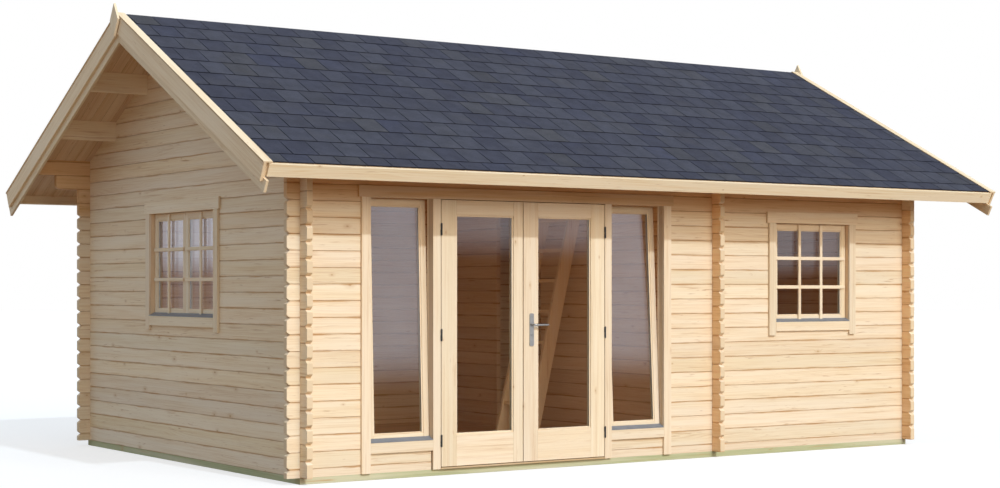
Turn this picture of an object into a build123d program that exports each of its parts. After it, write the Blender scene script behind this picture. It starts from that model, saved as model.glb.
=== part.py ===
from build123d import *
import math
import os

# Log cabin with a gable roof, a glazed double door between two side lights,
# a window in the front, a pair of window sashes in the left gable wall, and
# a ladder to a sleeping loft over the smaller room.
# Millimetres. The origin is the centre of the plan at ground level, +X runs
# to the right along the front, +Y to the back and +Z up. Sizes along a wall
# are measured from the outer corner of the front wall and the left wall.

# Logs
wall_length = 5800.0
wall_depth = 3800.0
log_thickness = 44.0
log_height = 114.0
log_end = 100.0
log_end_cut = 20.0
log_end_cut_depth = 26.0
joint_groove = 4.0
section_spare = 1.0

# Places along the front, as shares of its length
door_group_share = 47 / 580
partition_share = 729 / 1160
front_window_share = 861 / 1160

# Ground frame and floor
beam_height = 45.0
beam_width = 70.0
bearer_pitch = 560.0
floor_thickness = 19.0
floor_gap = 5.0

# Logs counted from the ground frame up to each opening's edges
side_light_sill_log_count = 1
front_window_sill_log_count = 8
front_window_head_log_count = 16
door_head_log_count = 17
gable_window_sill_log_count = 9
gable_window_head_log_count = 17
corbel_log_count = 18
partition_top_log_count = 19

# Roof
roof_slope = 27.25
plate_height = 103.4
gable_overhang = 490.0
deck_end_run = 490.0
deck_thickness = 18.0
shingle_butt = 10.0
shingle_head = 4.0
shingle_course = 236.0
eave_course = 160.0
shingle_overhang = 4.0
purlin_width = 44.0
purlin_height = 145.0
upper_purlin_share = 0.357
lower_purlin_share = 0.692
corbel_reach = 296.0
corbel_radius = 40.0
corbel_arc_steps = 4
fascia_height = 90.0
fascia_thickness = 20.0
fascia_drop = 4.0
barge_thickness = 20.0
barge_width = 130.0
barge_end_reach = 15.0
backing_width = 188.0
backing_step = 86.0
backing_end_reach = 60.0
cap_width = 68.0
cap_thickness = 12.0
cap_lip = 5.0
mitre_gap = 1.0
finial_height = 250.0
finial_half_width = 76.0
finial_thickness = 18.0
finial_rise = 99.0

# Frames, casings and sashes
frame_thickness = 40.0
frame_gap = 5.0
casing_thickness = 20.0
casing_width = 72.0
head_board_height = 80.0
head_board_overhang = 22.0
apron_height = 75.0
settling_gap = 35.0
sash_width = 46.0
sash_thickness = 36.0
sash_gap = 3.0
sash_set_back = 48.0
glass_thickness = 16.0
drip_height = 27.0
drip_lip = 3.0

# Door group, from its left casing to its right one
side_light_width = 507.0
post_width = 64.0
door_gap = 5.0
leaf_gap = 7.0
left_leaf_width = 702.0
right_leaf_width = 741.0
leaf_thickness = 44.0
hinge_stile = 127.0
left_meeting_stile = 82.0
right_meeting_stile = 127.0
top_rail = 105.0
bottom_rail = 222.0
stop_width = 15.0
threshold_height = 12.0
light_sash_depth = 50.0
left_light_tilt = 1.8
right_light_tilt = 2.8

# Windows
front_window_width = 815.0
gable_window_width = 1160.0
window_board_height = 92.0
window_casing_foot = 34.0

# Hinges and lever handle
hinge_height = 88.0
hinge_radius = 6.5
hinge_plate_width = 4.0
hinge_plate_thickness = 2.0
hinge_pin_radius = 3.5
hinge_running_gap = 0.05
hinge_knuckle_gap = 0.5
hinge_top_drop = 214.0
hinge_bottom_rise = 184.0
handle_height = 1060.0
handle_plate_width = 38.0
handle_plate_height = 240.0
handle_plate_rise = 84.0
handle_plate_thickness = 6.0
handle_plate_corner = 11.0
spindle_side = 8.0
spindle_gap = 0.5
lever_length = 132.0
lever_radius = 8.0
lever_reach = 46.0
rose_radius = 13.0
rose_thickness = 4.0
handle_edge_place = 70.0
lock_barrel_radius = 8.0
lock_barrel_drop = 72.0
lock_barrel_stand = 4.0

# Loft and ladder
loft_joist_width = 44.0
loft_joist_height = 95.0
loft_joist_count = 6
loft_board_thickness = 19.0
loft_edge_gap = 60.0
ledger_width = 44.0
ladder_foot_reach = 635.0
ladder_near_stile = 1640.0
ladder_width = 480.0
ladder_stile_depth = 120.0
ladder_stile_thickness = 32.0
ladder_tread_depth = 100.0
ladder_tread_thickness = 28.0
ladder_tread_pitch = 262.0
ladder_lean_gap = 2.0
partition_door_place = 2330.0
partition_door_width = 700.0

# Levels and places worked out from the sizes above
slope = math.radians(roof_slope)
left = -wall_length / 2
front = -wall_depth / 2
door_group_place = door_group_share * wall_length
partition_place = partition_share * wall_length
front_window_place = front_window_share * wall_length
ladder_foot_place = partition_place - ladder_foot_reach
neck = log_height / 4
reveal = log_thickness + casing_thickness
verge = gable_overhang + 2 * barge_thickness
deck_end = (wall_depth / 2 + deck_end_run) / math.cos(slope)
upper_purlin_run = upper_purlin_share * wall_depth / 2
lower_purlin_run = lower_purlin_share * wall_depth / 2
leaf_bottom = beam_height + threshold_height + door_gap
leaf_front = -casing_thickness

FRONT_JOINTS = [beam_height + log_height * (k + 0.5) for k in range(corbel_log_count + 3)]
plate_log_count = corbel_log_count + 1
plate_base = FRONT_JOINTS[plate_log_count]
roof_underside = plate_base + plate_height + wall_depth / 2 * math.tan(slope)
top_of_roof = roof_underside + finial_rise
gable_log_count = math.ceil((roof_underside - beam_height) / log_height)
GABLE_JOINTS = [beam_height + log_height * k for k in range(gable_log_count)]


def front_level(log):
    """Level of the joint over the given log of the front and back walls."""
    return beam_height + log_height * (log + 0.5)


def gable_level(log):
    """Level of the joint over the given log of the gable walls."""
    return beam_height + log_height * log


def roof_level(run, stand):
    """Level of a roof plane at a distance from the ridge line, square offset included."""
    return roof_underside - run * math.tan(slope) + stand / math.cos(slope)


def slope_point(along, stand):
    """Distance from the ridge line and level of a point given along and square to the slope."""
    run = along * math.cos(slope) + stand * math.sin(slope)
    level = roof_underside - along * math.sin(slope) + stand * math.cos(slope)
    return run, level


def block(x0, x1, y0, y1, z0, z1):
    """Box between two corners."""
    return Pos((x0 + x1) / 2, (y0 + y1) / 2, (z0 + z1) / 2) * Box(x1 - x0, y1 - y0, z1 - z0)


def prism_x(points, x0, x1):
    """Outline of (y, z) points extruded from x0 to x1."""
    face = make_face(Polyline(*[(x0, y, z) for y, z in points], close=True))
    return extrude(face, amount=x1 - x0, dir=(1, 0, 0))


def prism_y(points, y0, y1):
    """Outline of (x, z) points extruded from y0 to y1."""
    face = make_face(Polyline(*[(x, y0, z) for x, z in points], close=True))
    return extrude(face, amount=y1 - y0, dir=(0, 1, 0))


def both_sides(solid):
    """A solid and its mirror image across the plane through the ridge."""
    return [solid, solid.mirror(Plane.XZ)]


def both_ends(solid):
    """A solid and its mirror image across the middle of the front."""
    return [solid, solid.mirror(Plane.YZ)]


# Log walls, made along X with their outer face at y = 0

def log_end_edge(end, inward, joints, bottom, top):
    """Points up a stack of log ends whose corners are cut at every joint."""
    points = [(end, bottom)]
    for joint in joints:
        if bottom + log_end_cut < joint < top - log_end_cut:
            points.append((end, joint - log_end_cut))
            points.append((end + inward * log_end_cut_depth, joint))
            points.append((end, joint + log_end_cut))
    points.append((end, top))
    return points


def wall_profile(joints, bottom, top, inner_top):
    """Section of a log wall with a V groove at every joint on both faces."""
    outer = []
    inner = []
    for joint in joints:
        if abs(joint - bottom) < joint_groove:
            outer += [(joint_groove, bottom), (0, bottom + joint_groove)]
            inner += [(log_thickness - joint_groove, bottom), (log_thickness, bottom + joint_groove)]
        elif abs(joint - top) < joint_groove:
            outer += [(0, top - joint_groove), (joint_groove, top)]
            inner += [(log_thickness, top - joint_groove), (log_thickness - joint_groove, top)]
        elif bottom < joint < top - joint_groove:
            outer += [(0, joint - joint_groove), (joint_groove, joint), (0, joint + joint_groove)]
            inner += [(log_thickness, joint - joint_groove), (log_thickness - joint_groove, joint)]
            inner += [(log_thickness, joint + joint_groove)]
    if outer[0][1] > bottom:
        outer.insert(0, (0, bottom))
        inner.insert(0, (log_thickness, bottom))
    if outer[-1][1] < top:
        outer.append((0, top))
        inner.append((log_thickness, inner_top))
    return outer + inner[::-1]


def log_wall(start, end, joints, bottom, top, start_ends=False, end_ends=False, crossings=(),
             outline=None, inner_top=None):
    """Stack of logs from start to end, with log ends and the notches of crossing walls."""
    if outline is None:
        rising = log_end_edge(end, -1, joints, bottom, top) if end_ends else [(end, bottom), (end, top)]
        outline = rising + [(start, top), (start, bottom)]
        if start_ends:
            outline = rising + log_end_edge(start, 1, joints, bottom, top)[::-1]
    wall = prism_y(outline, 0, log_thickness)
    low = min(x for x, z in outline) - section_spare
    high = max(x for x, z in outline) + section_spare
    ceiling = top if inner_top is None else inner_top
    wall &= prism_x(wall_profile(joints, bottom, top, ceiling), low, high)
    cuts = [cut for place in crossings for cut in notches(place, joints, bottom, max(top, ceiling))]
    return wall - cuts if cuts else wall


def notches(place, joints, bottom, top):
    """Space of a crossing wall's logs, one at every joint between two levels."""
    cuts = []
    for joint in joints:
        low = max(joint - neck, bottom)
        high = min(joint + neck, top)
        if low < high:
            cuts.append(block(place, place + log_thickness, 0, log_thickness, low, high))
    return cuts


def along_front(wall):
    """Place a wall in the front wall's line."""
    return Pos(left, front, 0) * wall


def along_left(wall):
    """Place a wall in the left gable wall's line."""
    return Pos(left + log_thickness, front, 0) * Rot(0, 0, 90) * wall


def front_walls():
    """Front wall in pieces round the door group and the window."""
    base = beam_height
    head = front_level(door_head_log_count)
    door_left = door_group_place + casing_width - frame_thickness - frame_gap
    door_right = door_group_end() - casing_width + frame_thickness + frame_gap
    window_left = front_window_place - frame_thickness - frame_gap
    window_right = front_window_place + front_window_width + frame_thickness + frame_gap
    light_sill = front_level(side_light_sill_log_count)
    window_sill = front_level(front_window_sill_log_count)
    window_head = front_level(front_window_head_log_count)
    far = wall_length - log_thickness
    left_part = log_wall(-log_end, door_left, FRONT_JOINTS, base, head, start_ends=True, crossings=[0])
    middle = log_wall(door_right, window_left, FRONT_JOINTS, base, head, crossings=[partition_place])
    right_part = log_wall(window_right, wall_length + log_end, FRONT_JOINTS, base, head,
                          end_ends=True, crossings=[far])
    sills = [
        log_wall(door_left, left_post() - frame_gap, FRONT_JOINTS, base, light_sill),
        log_wall(right_post() + post_width + frame_gap, door_right, FRONT_JOINTS, base, light_sill),
        log_wall(window_left, window_right, FRONT_JOINTS, base, window_sill),
    ]
    over_window = log_wall(window_left, window_right, FRONT_JOINTS, window_head, head)
    return {
        "front_wall_left": [along_front(left_part)],
        "front_wall_middle": [along_front(middle)],
        "front_wall_right": [along_front(right_part)],
        "front_wall_sills": [along_front(sill) for sill in sills],
        "front_wall_over_window": [along_front(over_window)],
        "front_wall_top": [along_front(eaves_logs())],
    }


def eaves_logs():
    """Upper logs of an eaves wall: a log, a corbel log and the plate log under the roof."""
    base = front_level(door_head_log_count)
    corbel = front_level(corbel_log_count)
    plate = plate_base
    outer_top = roof_level(wall_depth / 2, 0)
    inner_top = roof_level(wall_depth / 2 - log_thickness, 0)
    far = wall_length + log_end
    reach = wall_length + corbel_reach
    limit = wall_length + gable_overhang
    outline = [(-log_end, base), (far, base), (far, corbel), (reach - corbel_radius, corbel)]
    outline += quarter_arc(reach - corbel_radius, corbel + corbel_radius, 1)
    outline += [(reach, plate), (limit, plate), (limit, inner_top), (-gable_overhang, inner_top)]
    outline += [(-gable_overhang, plate), (-corbel_reach, plate)]
    outline += quarter_arc(corbel_radius - corbel_reach, corbel + corbel_radius, -1)[::-1]
    outline += [(corbel_radius - corbel_reach, corbel), (-log_end, corbel)]
    joints = FRONT_JOINTS[:plate_log_count + 1]
    wall = log_wall(-log_end, far, joints, base, outer_top, crossings=[0, wall_length - log_thickness],
                    outline=outline, inner_top=inner_top)
    return wall - notches(partition_place, FRONT_JOINTS, base, gable_level(partition_top_log_count))


def quarter_arc(x, z, side):
    """Points of a corbel's rounded lower corner, from just past its lowest point to its side."""
    points = []
    for k in range(1, corbel_arc_steps + 1):
        turn = math.pi / 2 * k / corbel_arc_steps
        points.append((x + side * corbel_radius * math.sin(turn), z - corbel_radius * math.cos(turn)))
    return points


def back_walls():
    """Back wall, closed from end to end, and its upper logs."""
    crossings = [0, partition_place, wall_length - log_thickness]
    head = front_level(door_head_log_count)
    wall = log_wall(-log_end, wall_length + log_end, FRONT_JOINTS, beam_height, head,
                    start_ends=True, end_ends=True, crossings=crossings)
    return {
        "back_wall": [along_front(wall).mirror(Plane.XZ)],
        "back_wall_top": [along_front(eaves_logs()).mirror(Plane.XZ)],
    }


def gable_outline(base, pockets=True):
    """Outline of the logs over the eaves, with a pocket for every purlin."""
    middle = wall_depth / 2
    eave_run = middle + log_end
    side = log_end_edge(wall_depth + log_end, -1, GABLE_JOINTS, base, roof_level(eave_run, 0))
    points = [(middle + x, z) for x, z in purlin_pocket(0)]
    for run in (upper_purlin_run, lower_purlin_run):
        points += [(middle + x, z) for x, z in purlin_pocket(run)]
    half = points + side[::-1]
    mirrored = [(wall_depth - y, z) for y, z in half[::-1]]
    return half + mirrored


def purlin_pocket(run):
    """Edge of the gable where a purlin passes through it, on one side of the ridge."""
    half = purlin_width / 2
    floor = roof_level(run, 0) - purlin_height
    if run == 0:
        return [(half, floor), (half, roof_level(half, 0))]
    return [(run - half, roof_level(run - half, 0)), (run - half, floor), (run + half, floor),
            (run + half, roof_level(run + half, 0))]


def gable_walls():
    """Left and right gable walls; the left one has the window."""
    head = gable_level(gable_window_head_log_count)
    sill = gable_level(gable_window_sill_log_count)
    near = wall_depth / 2 - gable_window_width / 2 - frame_thickness - frame_gap
    far = wall_depth - near
    last = wall_depth - log_thickness
    front_part = log_wall(-log_end, near, GABLE_JOINTS, beam_height, head, start_ends=True, crossings=[0])
    rear_part = log_wall(far, wall_depth + log_end, GABLE_JOINTS, beam_height, head,
                         end_ends=True, crossings=[last])
    under = log_wall(near, far, GABLE_JOINTS, beam_height, sill)
    closed = log_wall(-log_end, wall_depth + log_end, GABLE_JOINTS, beam_height, head,
                      start_ends=True, end_ends=True, crossings=[0, last])
    gable = log_wall(-log_end, wall_depth + log_end, GABLE_JOINTS, head, roof_underside,
                     crossings=[0, last], outline=gable_outline(head))
    gable -= [block(place, place + log_thickness, 0, log_thickness, eaves_notch(), roof_underside)
              for place in (0, last)]
    return {
        "left_wall": [along_left(front_part), along_left(rear_part)],
        "left_wall_sill": [along_left(under)],
        "left_gable": [along_left(gable)],
        "right_wall": [along_left(closed).mirror(Plane.YZ)],
        "right_gable": [along_left(gable).mirror(Plane.YZ)],
    }


def eaves_notch():
    """Level above which the plate log fills a corner."""
    return plate_base + neck


def partition_walls():
    """Wall between the rooms, its log ends passing through the front and back walls."""
    far_side = partition_door_place + partition_door_width
    door_top = gable_level(gable_window_head_log_count)
    top = gable_level(partition_top_log_count)
    last = wall_depth - log_thickness
    near = log_wall(-log_end, partition_door_place, GABLE_JOINTS, beam_height, top,
                    start_ends=True, crossings=[0])
    rear = log_wall(far_side, wall_depth + log_end, GABLE_JOINTS, beam_height, top,
                    end_ends=True, crossings=[last])
    over = log_wall(partition_door_place, far_side, GABLE_JOINTS, door_top, top)
    move = Pos(partition_place, 0, 0)
    return {
        "partition": [move * along_left(near), move * along_left(rear)],
        "partition_lintel": [move * along_left(over)],
    }


# Ground frame and floor

def ground_frame():
    """Two long beams with bearers between them, the outermost under the gable walls."""
    right = -left
    long_beam = block(left, right, front, front + beam_width, 0, beam_height)
    bearers = []
    under_partition = left + partition_place + log_thickness / 2
    inner = front + beam_width
    bays = [(left + beam_width / 2, under_partition), (under_partition, right - beam_width / 2)]
    places = [under_partition]
    for start, end in bays:
        count = round((end - start) / bearer_pitch)
        places += [start + (end - start) * k / count for k in range(count + 1) if 0 < k < count]
    places += [left + beam_width / 2, right - beam_width / 2]
    for place in sorted(places):
        bearers.append(block(place - beam_width / 2, place + beam_width / 2, inner, -inner, 0, beam_height))
    return {"foundation_beams": both_sides(long_beam), "floor_bearers": bearers}


def floors():
    """Floor of each room, clear of the logs all round."""
    near = front + log_thickness + floor_gap
    top = beam_height + floor_thickness
    west = left + log_thickness + floor_gap
    wall = left + partition_place
    main = block(west, wall - floor_gap, near, -near, beam_height, top)
    side = block(wall + log_thickness + floor_gap, -west, near, -near, beam_height, top)
    return {"floor_boards": [main, side]}


# Roof

def slope_board(bottom, top, start, end, x0, x1):
    """Board on the front slope between two heights square to it, cut square at both ends."""
    corners = [slope_point(start, bottom), slope_point(start, top),
               slope_point(end, top), slope_point(end, bottom)]
    return prism_x([(-run, z) for run, z in corners], x0, x1)


def mitred(low, high, foot):
    """Outline of a layer of the front slope from its plumb cut at the ridge to the given foot."""
    half = mitre_gap / 2
    points = [(half, roof_level(half, low)), (half, roof_level(half, high))] + foot
    return [(-run, z) for run, z in points]


def roof_deck(x0, x1):
    """Boards on the purlins of the front slope, closed at the ridge."""
    points = [(0, roof_underside), (0, roof_level(0, deck_thickness)),
              slope_point(deck_end, deck_thickness), slope_point(deck_end, 0)]
    return prism_x([(-run, z) for run, z in points], x0, x1)


def shingle_layer(x0, x1):
    """Courses of shingles on the front slope, each lapping the one below it."""
    last = deck_end + shingle_overhang
    first_foot = last - eave_course
    count = int(first_foot / shingle_course)
    feet = [first_foot - shingle_course * k for k in range(count, -1, -1)]
    outline = [(0.0, roof_level(0, deck_thickness)), (0.0, roof_level(0, deck_thickness + shingle_head))]
    for foot in feet:
        outline.append(slope_point(foot, deck_thickness + shingle_butt))
        outline.append(slope_point(foot, deck_thickness + shingle_head))
    outline.append(slope_point(last, deck_thickness + shingle_butt))
    outline.append(slope_point(last, deck_thickness))
    return prism_x([(-run, z) for run, z in outline], x0, x1)


def barge_board():
    """Outer board of a gable on the front slope, mitred at the ridge and cut square at the eave."""
    low = deck_thickness - barge_width
    end = deck_end + barge_end_reach
    return mitred(low, deck_thickness, [slope_point(end, deck_thickness), slope_point(end, low)])


def backing_board():
    """Inner board of a gable, stepped under the line of the fascia at its foot."""
    low = deck_thickness - backing_width
    end = deck_end + backing_end_reach
    foot = [slope_point(deck_end, deck_thickness), slope_point(deck_end, -backing_step),
            slope_point(end, -backing_step), slope_point(end, low)]
    return mitred(low, deck_thickness, foot)


def verge_cap():
    """Narrow board that lies on the edge of the deck and on both bargeboards."""
    high = deck_thickness + cap_thickness
    end = deck_end + barge_end_reach
    return mitred(deck_thickness, high, [slope_point(end, high), slope_point(end, deck_thickness)])


def finial():
    """Kite shaped board over the mitre of a gable."""
    widest = top_of_roof - finial_height / 2
    points = [(0, top_of_roof), (finial_half_width, widest), (0, top_of_roof - finial_height),
              (-finial_half_width, widest)]
    outer = left - verge - cap_lip
    return prism_x(points, outer - finial_thickness, outer)


def purlin(run):
    """Purlin under the front slope, its top planed to the slope."""
    half = purlin_width / 2
    floor = roof_level(run, 0) - purlin_height
    if run == 0:
        points = [(-half, floor), (half, floor), (half, roof_level(half, 0)), (0, roof_underside),
                  (-half, roof_level(half, 0))]
    else:
        points = [(-run - half, floor), (half - run, floor), (half - run, roof_level(run - half, 0)),
                  (-run - half, roof_level(run + half, 0))]
    return prism_x(points, left - gable_overhang, gable_overhang - left)


def roof():
    """Purlins, deck, shingles and the boards along eaves and verges."""
    deck_left = left - gable_overhang
    deck = roof_deck(deck_left, -deck_left)
    shingle_left = left - verge - cap_lip + cap_width
    shingles = shingle_layer(shingle_left, -shingle_left)
    fascia_top = deck_thickness - fascia_drop
    fascia = slope_board(fascia_top - fascia_height, fascia_top, deck_end, deck_end + fascia_thickness,
                         deck_left, -deck_left)
    inner_face = left - gable_overhang
    middle_face = inner_face - barge_thickness
    outer_face = middle_face - barge_thickness
    board = prism_x(barge_board(), outer_face, middle_face)
    backing = prism_x(backing_board(), middle_face, inner_face)
    cap = prism_x(verge_cap(), outer_face - cap_lip, outer_face - cap_lip + cap_width)
    purlins = [purlin(0)] + both_sides(purlin(upper_purlin_run)) + both_sides(purlin(lower_purlin_run))
    deck_front, deck_back = both_sides(deck)
    shingles_front, shingles_back = both_sides(shingles)
    return {
        "purlins": purlins,
        "front_roof_deck": [deck_front],
        "back_roof_deck": [deck_back],
        "front_shingles": [shingles_front],
        "back_shingles": [shingles_back],
        "fascias": both_sides(fascia),
        "bargeboards": [piece for side in both_sides(board) for piece in both_ends(side)],
        "barge_backings": [piece for side in both_sides(backing) for piece in both_ends(side)],
        "verge_caps": [piece for side in both_sides(cap) for piece in both_ends(side)],
        "finials": both_ends(finial()),
    }


# Door group, in places measured from the left corner and the front face

def left_post():
    """Left side of the post between the left side light and the left door leaf."""
    return door_group_place + casing_width + side_light_width


def left_leaf():
    """Left side of the left door leaf."""
    return left_post() + post_width + door_gap


def right_leaf():
    """Left side of the right door leaf."""
    return left_leaf() + left_leaf_width + leaf_gap


def right_post():
    """Left side of the post between the right door leaf and the right side light."""
    return right_leaf() + right_leaf_width + door_gap


def door_group_end():
    """Right side of the right casing."""
    return right_post() + post_width + side_light_width + casing_width


def door_group_head():
    """Underside of the frame's head, hidden behind the head board."""
    return front_level(door_head_log_count) - head_board_height


def placed(solids):
    """Move solids from places along the front wall to the cabin's own frame."""
    return [Pos(left, front, 0) * solid for solid in solids]


def door_frame():
    """Uprights, head and threshold of the door group, with stops behind the leaves."""
    base = beam_height
    head = door_group_head()
    jamb_left = door_group_place + casing_width - frame_thickness
    jamb_right = door_group_end() - casing_width
    stop_face = leaf_front + leaf_thickness + door_gap
    sill_log = front_level(side_light_sill_log_count)
    jambs = [block(x, x + frame_thickness, 0, log_thickness, sill_log, head) for x in (jamb_left, jamb_right)]
    west = left_post()
    east = right_post()
    posts = []
    for x, side in ((west, 1), (east, -1)):
        post = block(x, x + post_width, leaf_front, log_thickness, base, head)
        stop_x = x + post_width if side > 0 else x - stop_width
        post += block(stop_x, stop_x + stop_width, stop_face, log_thickness, base, head)
        posts.append(post)
    beam = block(jamb_left, jamb_right + frame_thickness, 0, log_thickness, head, head + frame_thickness)
    stop_bar = block(west + post_width + stop_width, east - stop_width, stop_face, log_thickness,
                     head - stop_width, head)
    tread = leaf_bottom - door_gap
    raised = beam_height + floor_thickness
    step = [(leaf_front - drip_lip, base), (log_thickness, base), (log_thickness, raised),
            (stop_face, raised), (stop_face, tread), (leaf_front - drip_lip, tread)]
    threshold = prism_x(step, west + post_width + stop_width, east - stop_width)
    threshold += block(west + post_width, east, leaf_front - drip_lip, stop_face, base, tread)
    return {
        "door_frame_uprights": placed(jambs + posts),
        "door_frame_head": placed([beam + stop_bar]),
        "door_threshold": placed([threshold]),
    }


def light_openings():
    """Left and right edges of the two side lights."""
    first = door_group_place + casing_width
    second = right_post() + post_width
    return [(first, first + side_light_width), (second, second + side_light_width)]


def side_light_sills():
    """Sills under the side lights."""
    bottom = front_level(side_light_sill_log_count)
    top = bottom + frame_thickness
    return {"side_light_sills": placed([block(x0, x1, 0, log_thickness, bottom, top)
                                        for x0, x1 in light_openings()])}


def door_casings():
    """Boards over the joint between frame and logs, outside and inside."""
    head = door_group_head()
    board_top = head + head_board_height
    x0 = door_group_place
    x1 = door_group_end()
    sill_top = front_level(side_light_sill_log_count) + frame_thickness
    head_board = block(x0 - head_board_overhang, x1 + head_board_overhang, -casing_thickness, 0,
                       head, board_top)
    sides = [block(x, x + casing_width, -casing_thickness, 0, beam_height, head)
             for x in (x0, x1 - casing_width)]
    aprons = [block(a, b, -casing_thickness, 0, sill_top - apron_height, sill_top)
              for a, b in light_openings()]
    inside = block(x0, x1, log_thickness, reveal, head, board_top)
    floor = beam_height + floor_thickness
    for x, width in ((x0, casing_width), (left_post(), post_width), (right_post(), post_width),
                     (x1 - casing_width, casing_width)):
        inside += block(x, x + width, log_thickness, reveal, floor, head)
    return {
        "door_head_board": placed([head_board]),
        "door_side_boards": placed(sides),
        "side_light_aprons": placed(aprons),
        "door_inner_casing": placed([inside]),
    }


def ring(x0, x1, y0, y1, z0, z1, member):
    """Rectangular frame with members of one width."""
    inner = block(x0 + member, x1 - member, y0, y1, z0 + member, z1 - member)
    return block(x0, x1, y0, y1, z0, z1) - inner


def side_light_sashes():
    """Tall sashes tilted inwards about their lower edge, and their glass."""
    bottom = front_level(side_light_sill_log_count) + frame_thickness + sash_gap
    top = door_group_head() - sash_gap
    sashes = []
    panes = []
    for (x0, x1), tilt in zip(light_openings(), (left_light_tilt, right_light_tilt)):
        low = x0 + sash_gap
        high = x1 - sash_gap
        sash = ring(low, high, 0, sash_thickness, bottom, top, sash_width)
        middle = (sash_thickness - glass_thickness) / 2
        pane = block(low + sash_width, high - sash_width, middle, middle + glass_thickness,
                     bottom + sash_width, top - sash_width)
        lean = Pos(0, light_sash_depth - casing_thickness, bottom) * Rot(-tilt, 0, 0) * Pos(0, 0, -bottom)
        sashes.append(lean * sash)
        panes.append(lean * pane)
    return sashes, panes


def window_unit(width, bottom, top, sash_count):
    """Window of fixed sashes in a frame with casings, made from x = 0 with its wall face at y = 0."""
    frame = ring(-frame_thickness, width + frame_thickness, 0, log_thickness,
                 bottom - frame_thickness, top + frame_thickness, frame_thickness)
    outer = block(-casing_width - head_board_overhang, width + casing_width + head_board_overhang,
                  -casing_thickness, 0, top, top + window_board_height)
    apron_bottom = bottom - apron_height
    for x in (-casing_width, width):
        outer += block(x, x + casing_width, -casing_thickness, 0, apron_bottom - window_casing_foot, top)
    outer += block(0, width, -casing_thickness, 0, apron_bottom, bottom)
    inner = block(-casing_width, width + casing_width, log_thickness, reveal,
                  bottom - casing_width, top + window_board_height)
    inner -= block(0, width, log_thickness, reveal, bottom, top)
    sashes = []
    panes = []
    pitch = (width - sash_gap) / sash_count
    face = sash_set_back - casing_thickness
    for k in range(sash_count):
        low = sash_gap + pitch * k
        high = pitch * (k + 1)
        sashes.append(ring(low, high, face, face + sash_thickness,
                           bottom + sash_gap, top - sash_gap, sash_width))
        middle = face + (sash_thickness - glass_thickness) / 2
        panes.append(block(low + sash_width, high - sash_width, middle, middle + glass_thickness,
                           bottom + sash_gap + sash_width, top - sash_gap - sash_width))
    return frame, [outer, inner], sashes, panes


def drip(x0, x1, bottom, back):
    """Sloping metal strip on a sill, from the sash out to the casing."""
    face = -casing_thickness - drip_lip
    points = [(face, bottom), (back, bottom), (back, bottom + drip_height), (face, bottom + drip_lip)]
    return prism_x(points, x0, x1)


def windows():
    """Front window, gable window, the side lights' sashes and the glass of all of them."""
    front_bottom = front_level(front_window_sill_log_count) + frame_thickness
    front_top = front_level(front_window_head_log_count) - settling_gap - frame_thickness
    height = front_top - front_bottom
    gable_bottom = gable_level(gable_window_sill_log_count) + frame_thickness
    front_parts = window_unit(front_window_width, front_bottom, front_top, 1)
    gable_parts = window_unit(gable_window_width, gable_bottom, gable_bottom + height, 2)
    light_sashes, light_panes = side_light_sashes()
    gable_place = wall_depth / 2 + gable_window_width / 2

    def on_front(solid):
        return Pos(left + front_window_place, front, 0) * solid

    def on_gable(solid):
        return Pos(left, front + gable_place, 0) * Rot(0, 0, -90) * solid

    drips = [Pos(left, front, 0) * drip(x0, x1, front_level(side_light_sill_log_count) + frame_thickness,
                                        light_sash_depth - casing_thickness - sash_gap)
             for x0, x1 in light_openings()]
    back = sash_set_back - casing_thickness - sash_gap / 2
    drips.append(on_front(drip(0, front_window_width, front_bottom, back)))
    drips.append(on_gable(drip(0, gable_window_width, gable_bottom, back)))
    return {
        "window_frames": [on_front(front_parts[0]), on_gable(gable_parts[0])],
        "window_casings": [on_front(s) for s in front_parts[1]] + [on_gable(s) for s in gable_parts[1]],
        "window_sashes": [on_front(s) for s in front_parts[2]] + [on_gable(s) for s in gable_parts[2]],
        "window_drips": drips,
        "side_light_sashes": placed(light_sashes),
        "window_glass": [on_front(s) for s in front_parts[3]] + [on_gable(s) for s in gable_parts[3]],
        "side_light_glass": placed(light_panes),
    }


def leaf(x0, width, left_stile, right_stile):
    """Door leaf with one tall pane."""
    top = door_group_head() - door_gap
    back = leaf_front + leaf_thickness
    low = leaf_bottom + bottom_rail
    high = top - top_rail
    west = x0 + left_stile
    east = x0 + width - right_stile
    body = block(x0, x0 + width, leaf_front, back, leaf_bottom, top)
    body -= block(west, east, leaf_front, back, low, high)
    middle = leaf_front + (leaf_thickness - glass_thickness) / 2
    pane = block(west, east, middle, middle + glass_thickness, low, high)
    return body, pane


def hinge_levels():
    """Middle level of each of a leaf's three hinges."""
    low = leaf_bottom + hinge_bottom_rise
    high = door_group_head() - hinge_top_drop
    return [low, (low + high) / 2, high]


def hinge_axis_depth():
    """Depth of the hinge pins, which stand clear of the leaf's face."""
    return leaf_front - hinge_radius


def knuckle(x, side, low, high):
    """Half of a hinge between two levels: a barrel and the plate that holds it to the face."""
    level = (low + high) / 2
    barrel = Pos(x, hinge_axis_depth(), level) * Cylinder(hinge_radius, high - low)
    end = x + side * (door_gap / 2 + hinge_plate_width)
    return barrel + block(min(x, end), max(x, end), leaf_front - hinge_plate_thickness, leaf_front, low, high)


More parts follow.
